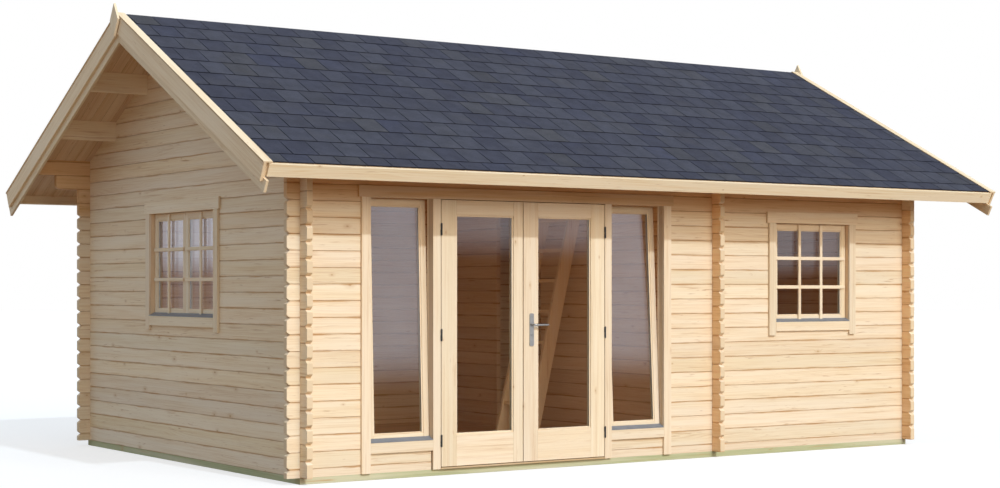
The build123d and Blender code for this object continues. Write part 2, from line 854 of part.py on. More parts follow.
def hinges(x, side):
    """Lower halves with pins, on the frame, and upper halves, on the leaf that lies on the given side."""
    lower = []
    upper = []
    half = hinge_height / 2
    pin_height = half - hinge_radius
    bore_height = pin_height + hinge_running_gap
    bore_radius = hinge_pin_radius + hinge_running_gap
    for level in hinge_levels():
        pin = Pos(x, hinge_axis_depth(), level + pin_height / 2) * Cylinder(hinge_pin_radius, pin_height)
        bore = Pos(x, hinge_axis_depth(), level + bore_height / 2) * Cylinder(bore_radius, bore_height)
        lower.append(knuckle(x, -side, level - half, level) + pin)
        upper.append(knuckle(x, side, level + hinge_knuckle_gap, level + half) - bore)
    return lower, upper


def handle():
    """Lever handle on a square spindle through the right leaf, with a plate on each face."""
    x = right_leaf() + handle_edge_place
    outer = leaf_front
    inner = leaf_front + leaf_thickness
    top = handle_height + handle_plate_rise
    half = handle_plate_width / 2
    plates = []
    for face, outward in ((outer, -1), (inner, 1)):
        y0 = min(face, face + outward * handle_plate_thickness)
        plate = block(x - half, x + half, y0, y0 + handle_plate_thickness, top - handle_plate_height, top)
        plate = fillet(plate.edges().filter_by(Axis.Y), handle_plate_corner)
        plate += rod_y(x, handle_height - lock_barrel_drop, lock_barrel_radius,
                       face, face + outward * (handle_plate_thickness + lock_barrel_stand))
        plates.append(plate - spindle_hole(x))
    spindle_reach = lever_reach - lever_radius
    lever = block(x - spindle_side / 2, x + spindle_side / 2, outer - spindle_reach, inner + spindle_reach,
                  handle_height - spindle_side / 2, handle_height + spindle_side / 2)
    for face, outward in ((outer, -1), (inner, 1)):
        start = face + outward * (handle_plate_thickness + spindle_gap)
        grip_y = face + outward * spindle_reach
        lever += rod_y(x, handle_height, lever_radius, start, grip_y + outward * lever_radius)
        lever += rod_y(x, handle_height, rose_radius, start, start + outward * rose_thickness)
        lever += Pos(x + lever_length / 2, grip_y, handle_height) * Rot(0, 90, 0) * Cylinder(
            lever_radius, lever_length)
    return plates, [lever], x


def rod_y(x, z, radius, y0, y1):
    """Cylinder along Y between two depths."""
    return Pos(x, (y0 + y1) / 2, z) * Rot(90, 0, 0) * Cylinder(radius, abs(y1 - y0))


def spindle_hole(x):
    """Hole for the spindle through the right leaf and both plates."""
    outer = leaf_front - handle_plate_thickness
    inner = leaf_front + leaf_thickness + handle_plate_thickness
    return rod_y(x, handle_height, spindle_side, outer, inner)


def doors():
    """Both leaves with their glass, hinges and handle."""
    left_body, left_pane = leaf(left_leaf(), left_leaf_width, hinge_stile, left_meeting_stile)
    right_body, right_pane = leaf(right_leaf(), right_leaf_width, right_meeting_stile, hinge_stile)
    left_lower, left_upper = hinges(left_leaf() - door_gap / 2, 1)
    right_lower, right_upper = hinges(right_leaf() + right_leaf_width + door_gap / 2, -1)
    plates, lever, spindle_place = handle()
    right_body -= spindle_hole(spindle_place)
    return {
        "left_door_leaf": placed([left_body]),
        "left_door_glass": placed([left_pane]),
        "right_door_leaf": placed([right_body]),
        "right_door_glass": placed([right_pane]),
        "frame_hinges": placed(left_lower + right_lower),
        "left_door_hinges": placed(left_upper),
        "right_door_hinges": placed(right_upper),
        "handle_plates": placed(plates),
        "door_handle": placed(lever),
    }


# Loft and ladder

def loft():
    """Joists from the partition to the right wall, and the loft's boards."""
    low = gable_level(partition_top_log_count)
    high = low + loft_joist_height
    start = left + partition_place
    end = -left - log_thickness
    inner = front + log_thickness + loft_edge_gap
    reach = -2 * inner - loft_joist_width
    joists = []
    for k in range(loft_joist_count):
        y = inner + reach * k / (loft_joist_count - 1)
        joists.append(block(start, end, y, y + loft_joist_width, low, high))
    boards = block(start, end, inner, -inner, high, high + loft_board_thickness)
    ledger = block(end - ledger_width, end, inner, -inner, low - loft_joist_height, low)
    return {"loft_joists": joists, "loft_boards": [boards], "loft_ledger": [ledger]}


def ladder():
    """Leaning ladder with flat treads, from the floor to the top of the partition."""
    foot = left + ladder_foot_place
    head = left + partition_place - ladder_lean_gap
    floor = beam_height + floor_thickness
    top = gable_level(partition_top_log_count)
    rise = top - floor
    across = head - foot - ladder_stile_depth
    lean = across / rise
    near = front + ladder_near_stile
    stiles = []
    for y in (near, near + ladder_width - ladder_stile_thickness):
        outline = [(foot, floor), (foot + ladder_stile_depth, floor),
                   (head, top), (head - ladder_stile_depth, top)]
        stiles.append(prism_y(outline, y, y + ladder_stile_thickness))
    treads = []
    count = int(rise / ladder_tread_pitch)
    for k in range(1, count + 1):
        z = floor + ladder_tread_pitch * k
        if z + ladder_tread_thickness < top:
            x = foot + lean * (z - floor) + (ladder_stile_depth - ladder_tread_depth) / 2
            treads.append(block(x, x + ladder_tread_depth, near + ladder_stile_thickness,
                                near + ladder_width - ladder_stile_thickness, z, z + ladder_tread_thickness))
    return {"ladder_stiles": stiles, "ladder_treads": treads}


def write(nodes):
    """Write every node as one STEP file."""
    os.makedirs("parts", exist_ok=True)
    for name, solids in nodes.items():
        pieces = [piece for solid in solids for piece in solid.solids()]
        export_step(Compound(children=pieces) if len(pieces) > 1 else pieces[0], f"parts/{name}.step")


write(ground_frame())
write(floors())
write(front_walls())
write(back_walls())
write(gable_walls())
write(partition_walls())
write(roof())
write(door_frame())
write(side_light_sills())
write(door_casings())
write(windows())
write(doors())
write(loft())
write(ladder())
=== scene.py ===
import math
import random

import bmesh
import bpy
from mathutils import Matrix, Vector


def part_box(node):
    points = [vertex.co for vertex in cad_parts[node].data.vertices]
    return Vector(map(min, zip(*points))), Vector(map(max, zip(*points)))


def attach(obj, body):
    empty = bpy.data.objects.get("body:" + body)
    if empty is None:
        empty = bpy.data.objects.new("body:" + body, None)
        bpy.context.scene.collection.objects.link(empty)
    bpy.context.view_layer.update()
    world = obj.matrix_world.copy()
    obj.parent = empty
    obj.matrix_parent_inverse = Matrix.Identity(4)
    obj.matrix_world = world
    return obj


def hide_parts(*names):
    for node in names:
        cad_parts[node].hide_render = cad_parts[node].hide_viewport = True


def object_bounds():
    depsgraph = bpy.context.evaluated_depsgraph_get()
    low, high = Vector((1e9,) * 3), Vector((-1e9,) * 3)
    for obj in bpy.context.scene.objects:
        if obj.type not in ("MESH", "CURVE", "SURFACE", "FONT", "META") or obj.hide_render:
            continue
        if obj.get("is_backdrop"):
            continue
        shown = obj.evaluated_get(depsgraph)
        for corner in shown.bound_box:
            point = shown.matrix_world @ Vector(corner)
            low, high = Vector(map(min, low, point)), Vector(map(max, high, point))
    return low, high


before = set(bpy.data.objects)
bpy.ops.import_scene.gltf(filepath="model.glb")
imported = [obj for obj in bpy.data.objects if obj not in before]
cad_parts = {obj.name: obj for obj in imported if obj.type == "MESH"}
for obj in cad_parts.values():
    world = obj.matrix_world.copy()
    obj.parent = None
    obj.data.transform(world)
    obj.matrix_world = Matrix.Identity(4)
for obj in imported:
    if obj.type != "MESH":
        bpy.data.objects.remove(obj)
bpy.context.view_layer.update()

# Places and sizes in metres, in the frame of the solids: X along the front, Y to the back, Z up.
LEFT, FRONT = -2.9, -1.9
LOG_PITCH, LOG_THICKNESS = 0.114, 0.044
FRONT_JOINT, GABLE_JOINT = 0.102, 0.045
SLOPE = math.radians(27.25)
RIDGE_UNDERSIDE = 3.350
EAVE_LOW, EAVE_HIGH = 1.86, 2.00
DECK_THICKNESS = 0.018
BOARD_EDGE, TRIM_EDGE, LEAF_EDGE, PLANK_EDGE = 0.0015, 0.0025, 0.0020, 0.0018
BOARD_GAP = 0.0003
FRAME, CASING, CASING_WIDTH = 0.040, 0.020, 0.072
SASH_WIDTH, SASH_THICKNESS, SASH_FACE, SASH_GAP = 0.046, 0.036, 0.028, 0.003
GLASS_INSET, GLASS_THICKNESS = 0.010, 0.016

# Colours of wood in linear light, as a light and a dark tone where there are two
SPRUCE = ((0.91, 0.750, 0.535), (0.745, 0.53, 0.305))
GABLE_BOARD = ((0.885, 0.71, 0.475), (0.73, 0.505, 0.27))
VERGE_CAP = ((0.85, 0.685, 0.46), (0.70, 0.49, 0.27))
WINDOW_FRAME = ((0.93, 0.66, 0.39), (0.78, 0.48, 0.24))
ROOF_BOARD = ((0.74, 0.52, 0.32), (0.55, 0.32, 0.16))
FLOOR = ((0.80, 0.60, 0.38), (0.60, 0.39, 0.20))
# The fascia's tones are paler than the walls': painted sunlight
FASCIA_PAINTED_LIGHT = ((0.94, 0.81, 0.60), (0.83, 0.63, 0.38))
# The head board's tones are darker and more orange than the walls': painted shade of the eave
HEAD_BOARD_SHADE = ((0.74, 0.46, 0.21), (0.56, 0.30, 0.11))
THRESHOLD = ((0.58, 0.40, 0.215), (0.48, 0.29, 0.130))
LADDER = ((0.97, 0.84, 0.60), (0.86, 0.66, 0.40))
TREATED = ((0.50, 0.505, 0.285), (0.35, 0.38, 0.19))
SAPWOOD = (0.94, 0.83, 0.68)
RESIN, SMUDGE = (0.52, 0.27, 0.095), (0.50, 0.26, 0.095)
PITCH, PORE = (0.40, 0.20, 0.075), (0.40, 0.23, 0.10)
KNOT_HALO, KNOT, KNOT_CORE = (0.60, 0.37, 0.17), (0.50, 0.27, 0.105), (0.32, 0.15, 0.06)
END_GRAIN = (0.50, 0.30, 0.13)
# Joint gap with painted shade in its groove, a darker band along each joint, and painted shade for sides
JOINT_GAP_AND_SHADE, JOINT_BAND, SIDE_SHADE = (0.34, 0.155, 0.05), (0.54, 0.29, 0.105), (0.40, 0.22, 0.09)
# Painted light: EAVE_SHADE darkens the wall just under the eaves, and TAIL_BOUNCE warms the sides of the log
# ends
EAVE_SHADE, TAIL_BOUNCE = (0.92, 0.74, 0.56), (1.12, 0.925, 0.72)

# Grain: sizes in metres, and knots to the metre along a board and up its face. KNOT_SCALE brings distances
# between knots back to metres.
RING_PITCH, END_RING_PITCH = 0.0105, 0.0034
KNOT_MOST, KNOT_LEAST, CORE_LEAST, KNOT_RIM = 0.0120, 0.0020, 0.0030, 0.0015
KNOTS_ALONG, KNOTS_UP, KNOT_SCALE = 1.9, 3.6, 3.2

rng = random.Random(7)


class Tree:
    """Short calls for making shader nodes."""

    def __init__(self, tree):
        self.tree = tree

    def node(self, kind, values=(), out=0, **settings):
        n = self.tree.nodes.new("ShaderNode" + kind)
        for key, value in settings.items():
            setattr(n, key, value)
        for key, value in dict(values).items():
            self.put(n.inputs[key], value)
        return n.outputs[out] if out is not None else n

    def put(self, socket, value):
        """Link or set a socket. A colour of three numbers gets its fourth."""
        if isinstance(value, bpy.types.NodeSocket):
            self.tree.links.new(value, socket)
        elif value is not None:
            if socket.type == "RGBA" and len(value) == 3:
                value = (*value, 1.0)
            socket.default_value = value

    def math(self, op, a, b=None, c=None, clamp=False):
        return self.node("Math", {0: a, 1: b, 2: c}, operation=op, use_clamp=clamp)

    def plus(self, a, b, clamp=False):
        return self.math("ADD", a, b, clamp=clamp)

    def minus(self, a, b):
        return self.math("SUBTRACT", a, b)

    def times(self, a, b):
        return self.math("MULTIPLY", a, b)

    def vec(self, op, a, b=None, scale=None, out=0):
        n = self.node("VectorMath", {0: a}, out=None, operation=op)
        if b is not None:
            self.put(n.inputs[1], b)
        if scale is not None:
            self.put(n.inputs["Scale"], scale)
        return n.outputs[out]

    def mix(self, factor, a, b, blend="MIX"):
        n = self.node("Mix", {"Factor": factor}, out=None, data_type="RGBA", blend_type=blend)
        self.put(n.inputs[6], a)
        self.put(n.inputs[7], b)
        return n.outputs[2]

    def between(self, value, low, high, to_low=0.0, to_high=1.0, smooth=True):
        return self.node("MapRange", {0: value, 1: low, 2: high, 3: to_low, 4: to_high},
                         interpolation_type="SMOOTHSTEP" if smooth else "LINEAR")

    def noise(self, vector, scale, detail=2.0, rough=0.5, distortion=0.0):
        return self.node("TexNoise", {"Vector": vector, "Scale": scale, "Detail": detail,
                                      "Roughness": rough, "Distortion": distortion})

    def xyz(self, x=0.0, y=0.0, z=0.0):
        return self.node("CombineXYZ", {0: x, 1: y, 2: z})

    def split(self, vector):
        n = self.node("SeparateXYZ", {0: vector}, out=None)
        return n.outputs[0], n.outputs[1], n.outputs[2]


def new_material(name):
    m = bpy.data.materials.new(name)
    m.use_nodes = True
    m.node_tree.nodes.clear()
    return m, Tree(m.node_tree)


def surface(t, shader):
    out = t.node("OutputMaterial", out=None)
    t.put(out.inputs["Surface"], shader)


def grain_space(t, along):
    """Object coordinates in the order of the grain: along it, up the face, and into the wood."""
    x, y, z = t.split(t.node("TexCoord", out="Object"))
    if along == "x":
        return x, z, y
    if along == "y":
        return y, z, x
    if along == "z":
        return z, x, y
    run = t.math("ABSOLUTE", y)
    down = t.minus(t.times(run, math.cos(SLOPE)), t.times(z, math.sin(SLOPE)))
    out = t.plus(t.times(run, math.sin(SLOPE)), t.times(z, math.cos(SLOPE)))
    return down, x, out


def knot_shapes(t, p, u, v, knots):
    """The knot, its core and its halo, round points in the face that are drawn out along the grain."""
    cell = t.xyz(t.times(u, KNOTS_ALONG), t.times(v, KNOTS_UP))
    spots = t.node("TexVoronoi", {"Vector": cell, "Scale": 1.0, "Randomness": 1.0}, out=None,
                   voronoi_dimensions="2D")
    reach = t.math("DIVIDE", spots.outputs["Distance"], KNOT_SCALE)
    place = spots.outputs["Position"]
    lot = t.split(t.node("TexWhiteNoise", {"Vector": place}, out="Color", noise_dimensions="3D"))
    radius = t.times(t.between(lot[0], 0.50, 1.0, 0.0, KNOT_MOST, smooth=False), knots)
    ragged = t.plus(reach, t.times(t.minus(t.noise(p, 70.0), 0.5), 0.008))
    there = t.math("GREATER_THAN", radius, KNOT_LEAST)
    knot = t.minus(1.0, t.between(ragged, t.times(radius, 0.35), t.plus(radius, KNOT_RIM)))
    core = t.minus(1.0, t.between(ragged, 0.0, t.times(radius, 0.55)))
    core = t.times(core, t.math("GREATER_THAN", t.times(radius, lot[1]), CORE_LEAST))
    halo = t.minus(1.0, t.between(reach, radius, t.times(radius, 4.0)))
    return t.times(knot, there), core, t.times(halo, there)


def end_grain(t, v, w, vs, ws, lots):
    """Rings round the heart of each log, with fine rays."""
    heart = t.xyz(0.0, t.plus(v, t.times(lots[1], 0.05)), t.plus(w, t.times(lots[2], 0.08)))
    radial = t.vec("LENGTH", heart, out="Value")
    radial = t.plus(radial, t.times(t.noise(t.xyz(0.0, vs, ws), 22.0), 0.012))
    turns = t.times(radial, 2 * math.pi / END_RING_PITCH)
    rings = t.math("MULTIPLY_ADD", t.math("SINE", turns), 0.5, 0.5)
    fibre = t.noise(t.xyz(0.0, t.times(vs, 700.0), t.times(ws, 700.0)), 1.0, 2.0)
    return t.plus(t.times(rings, 0.36), t.times(fibre, 0.40))


def timber_group():
    """Planed spruce: growth rings, fine streaks, pores, knots and a tint of its own for every board."""
    g = bpy.data.node_groups.new("timber", "ShaderNodeTree")
    for name, kind in (("U", "Float"), ("V", "Float"), ("W", "Float"), ("Seed", "Float"),
                       ("Light", "Color"), ("Dark", "Color"), ("Knots", "Float"), ("End", "Float")):
        g.interface.new_socket(name=name, in_out="INPUT", socket_type="NodeSocket" + kind)
    for name, kind in (("Color", "Color"), ("Height", "Float"), ("Rough", "Float")):
        g.interface.new_socket(name=name, in_out="OUTPUT", socket_type="NodeSocket" + kind)
    t = Tree(g)
    given = g.nodes.new("NodeGroupInput")
    u, v, w, seed, light, dark, knots, end = [given.outputs[k] for k in range(8)]
    lots = t.split(t.node("TexWhiteNoise", {"W": seed}, out="Color", noise_dimensions="1D"))
    u = t.plus(u, t.times(lots[0], 37.0))
    vs = t.plus(v, t.times(lots[1], 11.0))
    ws = t.plus(w, t.times(lots[2], 5.0))
    p = t.xyz(u, vs, ws)

    def field(along, up, deep, detail, rough=0.5, distortion=0.0):
        """Noise by how fast it changes along the board, up its face and into it."""
        return t.noise(t.vec("MULTIPLY", p, (along, up, deep)), 1.0, detail, rough, distortion)

    knot, core, halo = knot_shapes(t, p, u, vs, knots)

    # growth rings, bent round the knots and wandering along the board
    bent = t.plus(vs, t.times(field(0.55, 5.0, 5.0, 2.0), 0.16))
    bent = t.plus(bent, t.times(halo, 0.010))
    bent = t.plus(bent, t.times(ws, 0.7))
    phase = t.times(bent, 2 * math.pi / RING_PITCH)
    rings = t.math("POWER", t.math("MULTIPLY_ADD", t.math("SINE", phase), 0.5, 0.5), 3.0)
    strength = t.between(field(1.1, 14.0, 1.0, 1.0), 0.35, 0.75)
    rings = t.times(rings, strength)

    # streaks, pores, resin and smudges along the grain
    streak = field(1.6, 150.0, 150.0, 4.0, 0.6)
    pore = t.between(field(11.0, 620.0, 620.0, 1.0), 0.66, 0.80)
    resin = t.times(t.between(field(2.2, 46.0, 46.0, 3.0, 0.55, 0.4), 0.59, 0.74), strength)
    smudge = t.between(field(4.5, 62.0, 30.0, 3.0, 0.6, 0.6), 0.60, 0.76)
    smudge = t.times(smudge, t.between(field(0.8, 9.0, 1.0, 1.0), 0.42, 0.62))
    pitch = t.between(field(8.0, 120.0, 60.0, 2.0, 0.5, 0.3), 0.71, 0.80)
    cloud = field(0.9, 3.0, 3.0, 2.0)
    band = field(2.1, 52.0, 30.0, 3.0, 0.6, 0.3)
    sapwood = t.between(field(0.7, 17.0, 1.0, 2.0), 0.42, 0.66, 0.0, 0.55)

    amount = t.plus(t.times(rings, 0.52), t.times(t.between(streak, 0.38, 0.72), 0.54))
    amount = t.plus(amount, t.times(t.minus(cloud, 0.5), 0.5))
    amount = t.plus(amount, t.times(t.minus(band, 0.5), 1.15), clamp=True)
    color = t.mix(amount, light, dark)
    color = t.mix(sapwood, color, t.mix(0.5, light, SAPWOOD))
    color = t.node("HueSaturation", {"Hue": t.between(lots[1], 0.0, 1.0, 0.496, 0.503, smooth=False),
                                     "Saturation": t.between(lots[2], 0.0, 1.0, 0.93, 1.08, smooth=False),
                                     "Value": t.between(lots[0], 0.0, 1.0, 0.93, 1.04, smooth=False),
                                     "Color": color})
    color = t.mix(t.times(resin, 0.66), color, RESIN)
    color = t.mix(t.times(smudge, t.times(knots, 0.84)), color, SMUDGE)
    color = t.mix(t.times(pitch, t.times(knots, 0.62)), color, PITCH)
    color = t.mix(t.times(pore, 0.18), color, PORE)
    color = t.mix(t.times(halo, 0.30), color, KNOT_HALO)
    color = t.mix(t.times(knot, 0.58), color, KNOT)
    color = t.mix(t.times(core, 0.40), color, KNOT_CORE)
    end_mix = end_grain(t, v, w, vs, ws, lots)
    color = t.mix(end, color, t.mix(end_mix, t.mix(0.08, light, dark), t.mix(0.30, dark, END_GRAIN)))

    height = t.plus(t.times(streak, 0.5), t.times(rings, -0.35))
    height = t.plus(height, t.times(pore, -0.35))
    height = t.plus(height, t.times(knot, 0.6))
    height = t.mix(end, height, t.times(end_mix, 0.8))
    rough = t.plus(0.60, t.times(t.minus(streak, 0.5), 0.22))
    rough = t.plus(rough, t.times(end, 0.16), clamp=True)
    done = g.nodes.new("NodeGroupOutput")
    for socket, value in zip(done.inputs, (color, height, rough)):
        t.put(socket, value)
    return g


TIMBER = timber_group()


def own_seed(t):
    """The seed that a board has in its mesh."""
    return t.node("Attribute", out="Fac", attribute_name="seed", attribute_type="GEOMETRY")


def wood(name, along, tones=SPRUCE, knots=1.0, joint=None, bump=0.35, edges=0.0, eave=False, tails=False):
    """Planed wood with its grain along an axis.

    joint is the level of a log joint, edges the share of painted shade on sides that face left or right. eave
    paints shade just under the eaves, and tails warm bounce light on the left sides of the log ends before
    the front.
    """
    m, t = new_material(name)
    u, v, w = grain_space(t, along)
    local = v
    if joint is None:
        seed = t.plus(own_seed(t), t.times(t.node("ObjectInfo", out="Random"), 91.0))
    else:
        course = t.math("DIVIDE", t.minus(v, joint), LOG_PITCH)
        whole = t.math("FLOOR", course)
        local = t.times(t.minus(course, whole), LOG_PITCH)
        wall = t.math("FLOOR", t.math("MULTIPLY_ADD", w, 2.3, 0.5))
        seed = t.plus(t.times(whole, 7.31), t.times(wall, 13.7))
    normal = t.split(t.node("TexCoord", out="Normal"))
    if along == "slope":
        facing = t.minus(t.times(t.math("ABSOLUTE", normal[1]), math.cos(SLOPE)),
                         t.times(t.math("ABSOLUTE", normal[2]), math.sin(SLOPE)))
        facing = t.math("ABSOLUTE", facing)
    else:
        facing = t.math("ABSOLUTE", normal["xyz".index(along)])
    grain = t.node("Group", out=None, node_tree=TIMBER)
    for key, value in (("U", u), ("V", local), ("W", w), ("Seed", seed), ("Light", tones[0]),
                       ("Dark", tones[1]), ("Knots", knots), ("End", t.between(facing, 0.80, 0.90))):
        t.put(grain.inputs[key], value)
    color, height, rough = grain.outputs
    if joint is not None:
        # Dark joint: the gap between logs, with painted shade over the V groove that fades out 4 mm from it
        edge = t.math("MINIMUM", local, t.minus(LOG_PITCH, local))
        gap_and_shade = t.minus(1.0, t.between(edge, 0.0008, 0.0040))
        uneven = t.noise(t.xyz(t.times(u, 2.3), whole, w), 1.0, 3.0, 0.6)
        color = t.mix(t.times(gap_and_shade, t.between(uneven, 0.3, 0.7, 0.42, 0.82)), color, JOINT_GAP_AND_SHADE)
        # A smeared darker band along each joint, darker towards the joint
        near_joint = t.minus(1.0, t.between(edge, 0.0, 0.016))
        smear = t.noise(t.xyz(t.times(u, 3.0), t.times(v, 60.0), w), 1.0, 3.0, 0.6)
        color = t.mix(t.times(near_joint, t.between(smear, 0.42, 0.68, 0.0, 0.86)), color, JOINT_BAND)
    # Painted shade: the wall turns darker and more orange just under the eaves
    if eave:
        color = t.mix(t.between(v, EAVE_LOW, EAVE_HIGH), color, EAVE_SHADE, "MULTIPLY")
    # Painted bounce light: the left sides of the log ends before the front are made warmer
    if tails:
        before = t.times(t.math("LESS_THAN", u, FRONT), t.math("LESS_THAN", normal[0], -0.5))
        color = t.mix(before, color, TAIL_BOUNCE, "MULTIPLY")
    # Painted shade on sides that face left or right: the verge cap's edge, the door post reveals and the gaps
    # between roof boards
    if edges:
        painted_side_shade = t.between(t.math("ABSOLUTE", normal[0]), 0.50, 0.75, 0.0, edges)
        color = t.mix(painted_side_shade, color, SIDE_SHADE)
    bumped = t.node("Bump", {"Height": height, "Strength": bump, "Distance": 0.0008})
    shader = t.node("BsdfPrincipled", {"Base Color": color, "Roughness": rough, "Normal": bumped,
                                       "Specular IOR Level": 0.35})
    surface(t, shader)
    return m


def shingle_material(name, level):
    """Mineral granules on bitumen, with a tint of its own for every tab. Cut edges have a low level."""
    m, t = new_material(name)
    lot = t.node("TexWhiteNoise", {"W": own_seed(t)}, out="Color", noise_dimensions="1D")
    r1, r2, r3 = t.split(lot)
    p = t.node("TexCoord", out="Object")
    grains = t.node("TexVoronoi", {"Vector": p, "Scale": 620.0, "Randomness": 1.0}, out=None)
    grit = t.split(grains.outputs["Color"])[0]
    fine = t.noise(p, 1300.0, 2.0, 0.6)
    patch = t.noise(p, 9.0, 4.0, 0.6)
    blend = t.noise(t.vec("ADD", p, t.vec("SCALE", lot, scale=9.0)), 3.0, 2.0, 0.5)
    slate = t.mix(t.between(r1, 0.15, 0.85), (0.044, 0.047, 0.074), (0.056, 0.059, 0.081))
    slate = t.mix(t.between(r2, 0.78, 1.0, 0.0, 0.75), slate, (0.066, 0.066, 0.072))
    slate = t.mix(t.between(r3, 0.86, 1.0, 0.0, 0.75), slate, (0.040, 0.045, 0.083))
    slate = t.mix(t.between(blend, 0.5, 0.75, 0.0, 0.35), slate, (0.070, 0.066, 0.068))
    color = t.mix(t.between(grit, 0.0, 1.0, 0.0, 0.55, smooth=False), slate, (0.025, 0.028, 0.040))
    color = t.mix(t.between(fine, 0.62, 0.85, 0.0, 0.55), color, (0.23, 0.24, 0.27))
    value = t.times(t.between(patch, 0.3, 0.7, 0.88, 1.14), t.between(r1, 0.0, 1.0, 0.94, 1.10))
    color = t.node("HueSaturation", {"Value": t.times(value, level), "Color": color})
    height = t.plus(t.times(grains.outputs["Distance"], -0.9), t.times(fine, 0.5))
    bumped = t.node("Bump", {"Height": height, "Strength": 0.55, "Distance": 0.0012})
    shader = t.node("BsdfPrincipled", {"Base Color": color, "Roughness": 0.92, "Normal": bumped,
                                       "Specular IOR Level": 0.18})
    surface(t, shader)
    return m


def metal_material(name, tone, rough, brushed, metallic=1.0, stretch=(900.0, 900.0, 14.0)):
    """Metal with fine brushing, soft stains and paler rubbed places."""
    m, t = new_material(name)
    p = t.node("TexCoord", out="Object")
    lines = t.noise(t.vec("MULTIPLY", p, stretch), 1.0, 3.0, 0.6)
    stain = t.noise(p, 28.0, 4.0, 0.6)
    rubbed = t.between(t.noise(p, 120.0, 3.0, 0.6), 0.58, 0.74)
    pale = tuple(min(1.0, c * 1.5 + 0.05) for c in tone)
    color = t.mix(t.between(stain, 0.35, 0.75, 0.0, 0.5), tone, tuple(c * 0.72 for c in tone))
    color = t.mix(t.times(rubbed, 0.25), color, pale)
    roughness = t.plus(rough, t.times(t.minus(lines, 0.5), brushed), clamp=True)
    bumped = t.node("Bump", {"Height": lines, "Strength": 0.12, "Distance": 0.0003})
    shader = t.node("BsdfPrincipled", {"Base Color": color, "Roughness": roughness, "Normal": bumped,
                                       "Metallic": metallic})
    surface(t, shader)
    return m


def glass_material(name, low, high, head, gable=0.0):
    """Double glazing: mostly see-through, with a reflection at low angles and a painted sky reflection from
    low up to high.

    head is the share of the painted sky reflection above high, and gable what is added to it where the pane
    faces sideways.
    """
    m, t = new_material(name)
    p = t.node("TexCoord", out="Object")
    bumped = t.node("Bump", {"Height": t.noise(p, 1.7, 2.0, 0.5), "Strength": 0.05, "Distance": 0.004})
    see = t.node("BsdfTransparent", {"Color": (0.93, 0.94, 0.92)})
    # The bluish tint of the reflection is painted sky colour
    gloss = t.node("BsdfGlossy", {"Color": (0.80, 0.84, 0.95), "Roughness": 0.0, "Normal": bumped})
    reflection_patches = t.between(t.noise(p, 2.0, 2.0, 0.5), 0.3, 0.7, 0.90, 1.10)
    aside = t.math("ABSOLUTE", t.split(t.node("TexCoord", out="Normal"))[0])
    top = t.math("MULTIPLY_ADD", aside, gable, head)
    # Painted reflection of a sky: the glossy share grows with height from low to high, and more where the
    # pane faces sideways
    painted_sky_sheen = t.math("MULTIPLY_ADD", t.between(t.split(p)[2], low, high), top, 0.003)
    facing = t.node("LayerWeight", {"Blend": 0.5, "Normal": bumped}, out="Facing")
    share = t.math("MULTIPLY_ADD", t.math("POWER", facing, 5.0), 0.95, t.times(painted_sky_sheen, reflection_patches))
    surface(t, t.node("MixShader", {0: share, 1: see, 2: gloss}))
    return m


M = {
    "logs_x": wood("logs_x", "x", joint=FRONT_JOINT, eave=True),
    "logs_y": wood("logs_y", "y", joint=GABLE_JOINT),
    "log_tails": wood("log_tails", "y", joint=GABLE_JOINT, tails=True),
    "wood_slope": wood("wood_slope", "slope", GABLE_BOARD),
    "verge_cap": wood("verge_cap", "slope", VERGE_CAP, knots=0.5, edges=0.75),
    "door_post": wood("door_post", "z", knots=0.6, edges=0.45),
    "roof_boards": wood("roof_boards", "slope", ROOF_BOARD, knots=1.2, edges=0.85),
    "fascia": wood("fascia", "x", FASCIA_PAINTED_LIGHT, knots=0.6),
    # Painted shade of the eave in the head board's tones
    "head_board": wood("head_board", "x", HEAD_BOARD_SHADE, knots=0.6),
    "threshold": wood("threshold", "x", THRESHOLD, knots=0.3),
    "shingle": shingle_material("shingle", 1.03),
    "shingle_edge": shingle_material("shingle_edge", 0.22),
    # The last numbers set each glass's painted sky reflection
    "glass_door": glass_material("glass_door", 1.50, 1.78, 0.070),
    "glass_side": glass_material("glass_side", 0.58, 0.95, 0.128),
    "glass_window": glass_material("glass_window", 1.38, 1.62, 0.088, gable=0.14),
    "drip": metal_material("drip_metal", (0.235, 0.25, 0.275), 0.50, 0.15, 0.15, (14.0, 900.0, 900.0)),
    "hinge": metal_material("hinge_metal", (0.045, 0.043, 0.042), 0.45, 0.2, metallic=0.6),
    "steel": metal_material("handle_metal", (0.29, 0.29, 0.295), 0.36, 0.2),
    "spacer": metal_material("spacer_metal", (0.62, 0.61, 0.64), 0.42, 0.1),
}
# Looks along more than one axis: tones, knots and depth of the grain
for word, axes, tones, knots, bump in (("wood", "xyz", SPRUCE, 0.6, 0.35),
                                       ("sash", "xyz", SPRUCE, 0.25, 0.35),
                                       ("frame", "xyz", WINDOW_FRAME, 0.5, 0.35),
                                       ("floor", "xy", FLOOR, 1.0, 0.35),
                                       ("ladder", "yz", LADDER, 0.4, 0.35),
                                       ("treated", "xy", TREATED, 0.8, 0.6)):
    for axis in axes:
        look = word + "_" + axis
        M[look] = wood(look, axis, tones, knots=knots, bump=bump)


def soften(ob, width):
    """Planed edges: joins the solid's faces and rounds its edges."""
    ob.modifiers.new("weld", "WELD").merge_threshold = 0.00002
    flat = ob.modifiers.new("flat", "DECIMATE")
    flat.decimate_type = "DISSOLVE"
    flat.angle_limit = math.radians(0.5)
    edge = ob.modifiers.new("edge", "BEVEL")
    edge.width = width
    edge.segments = 2
    edge.limit_method = "ANGLE"
    edge.angle_limit = math.radians(35)


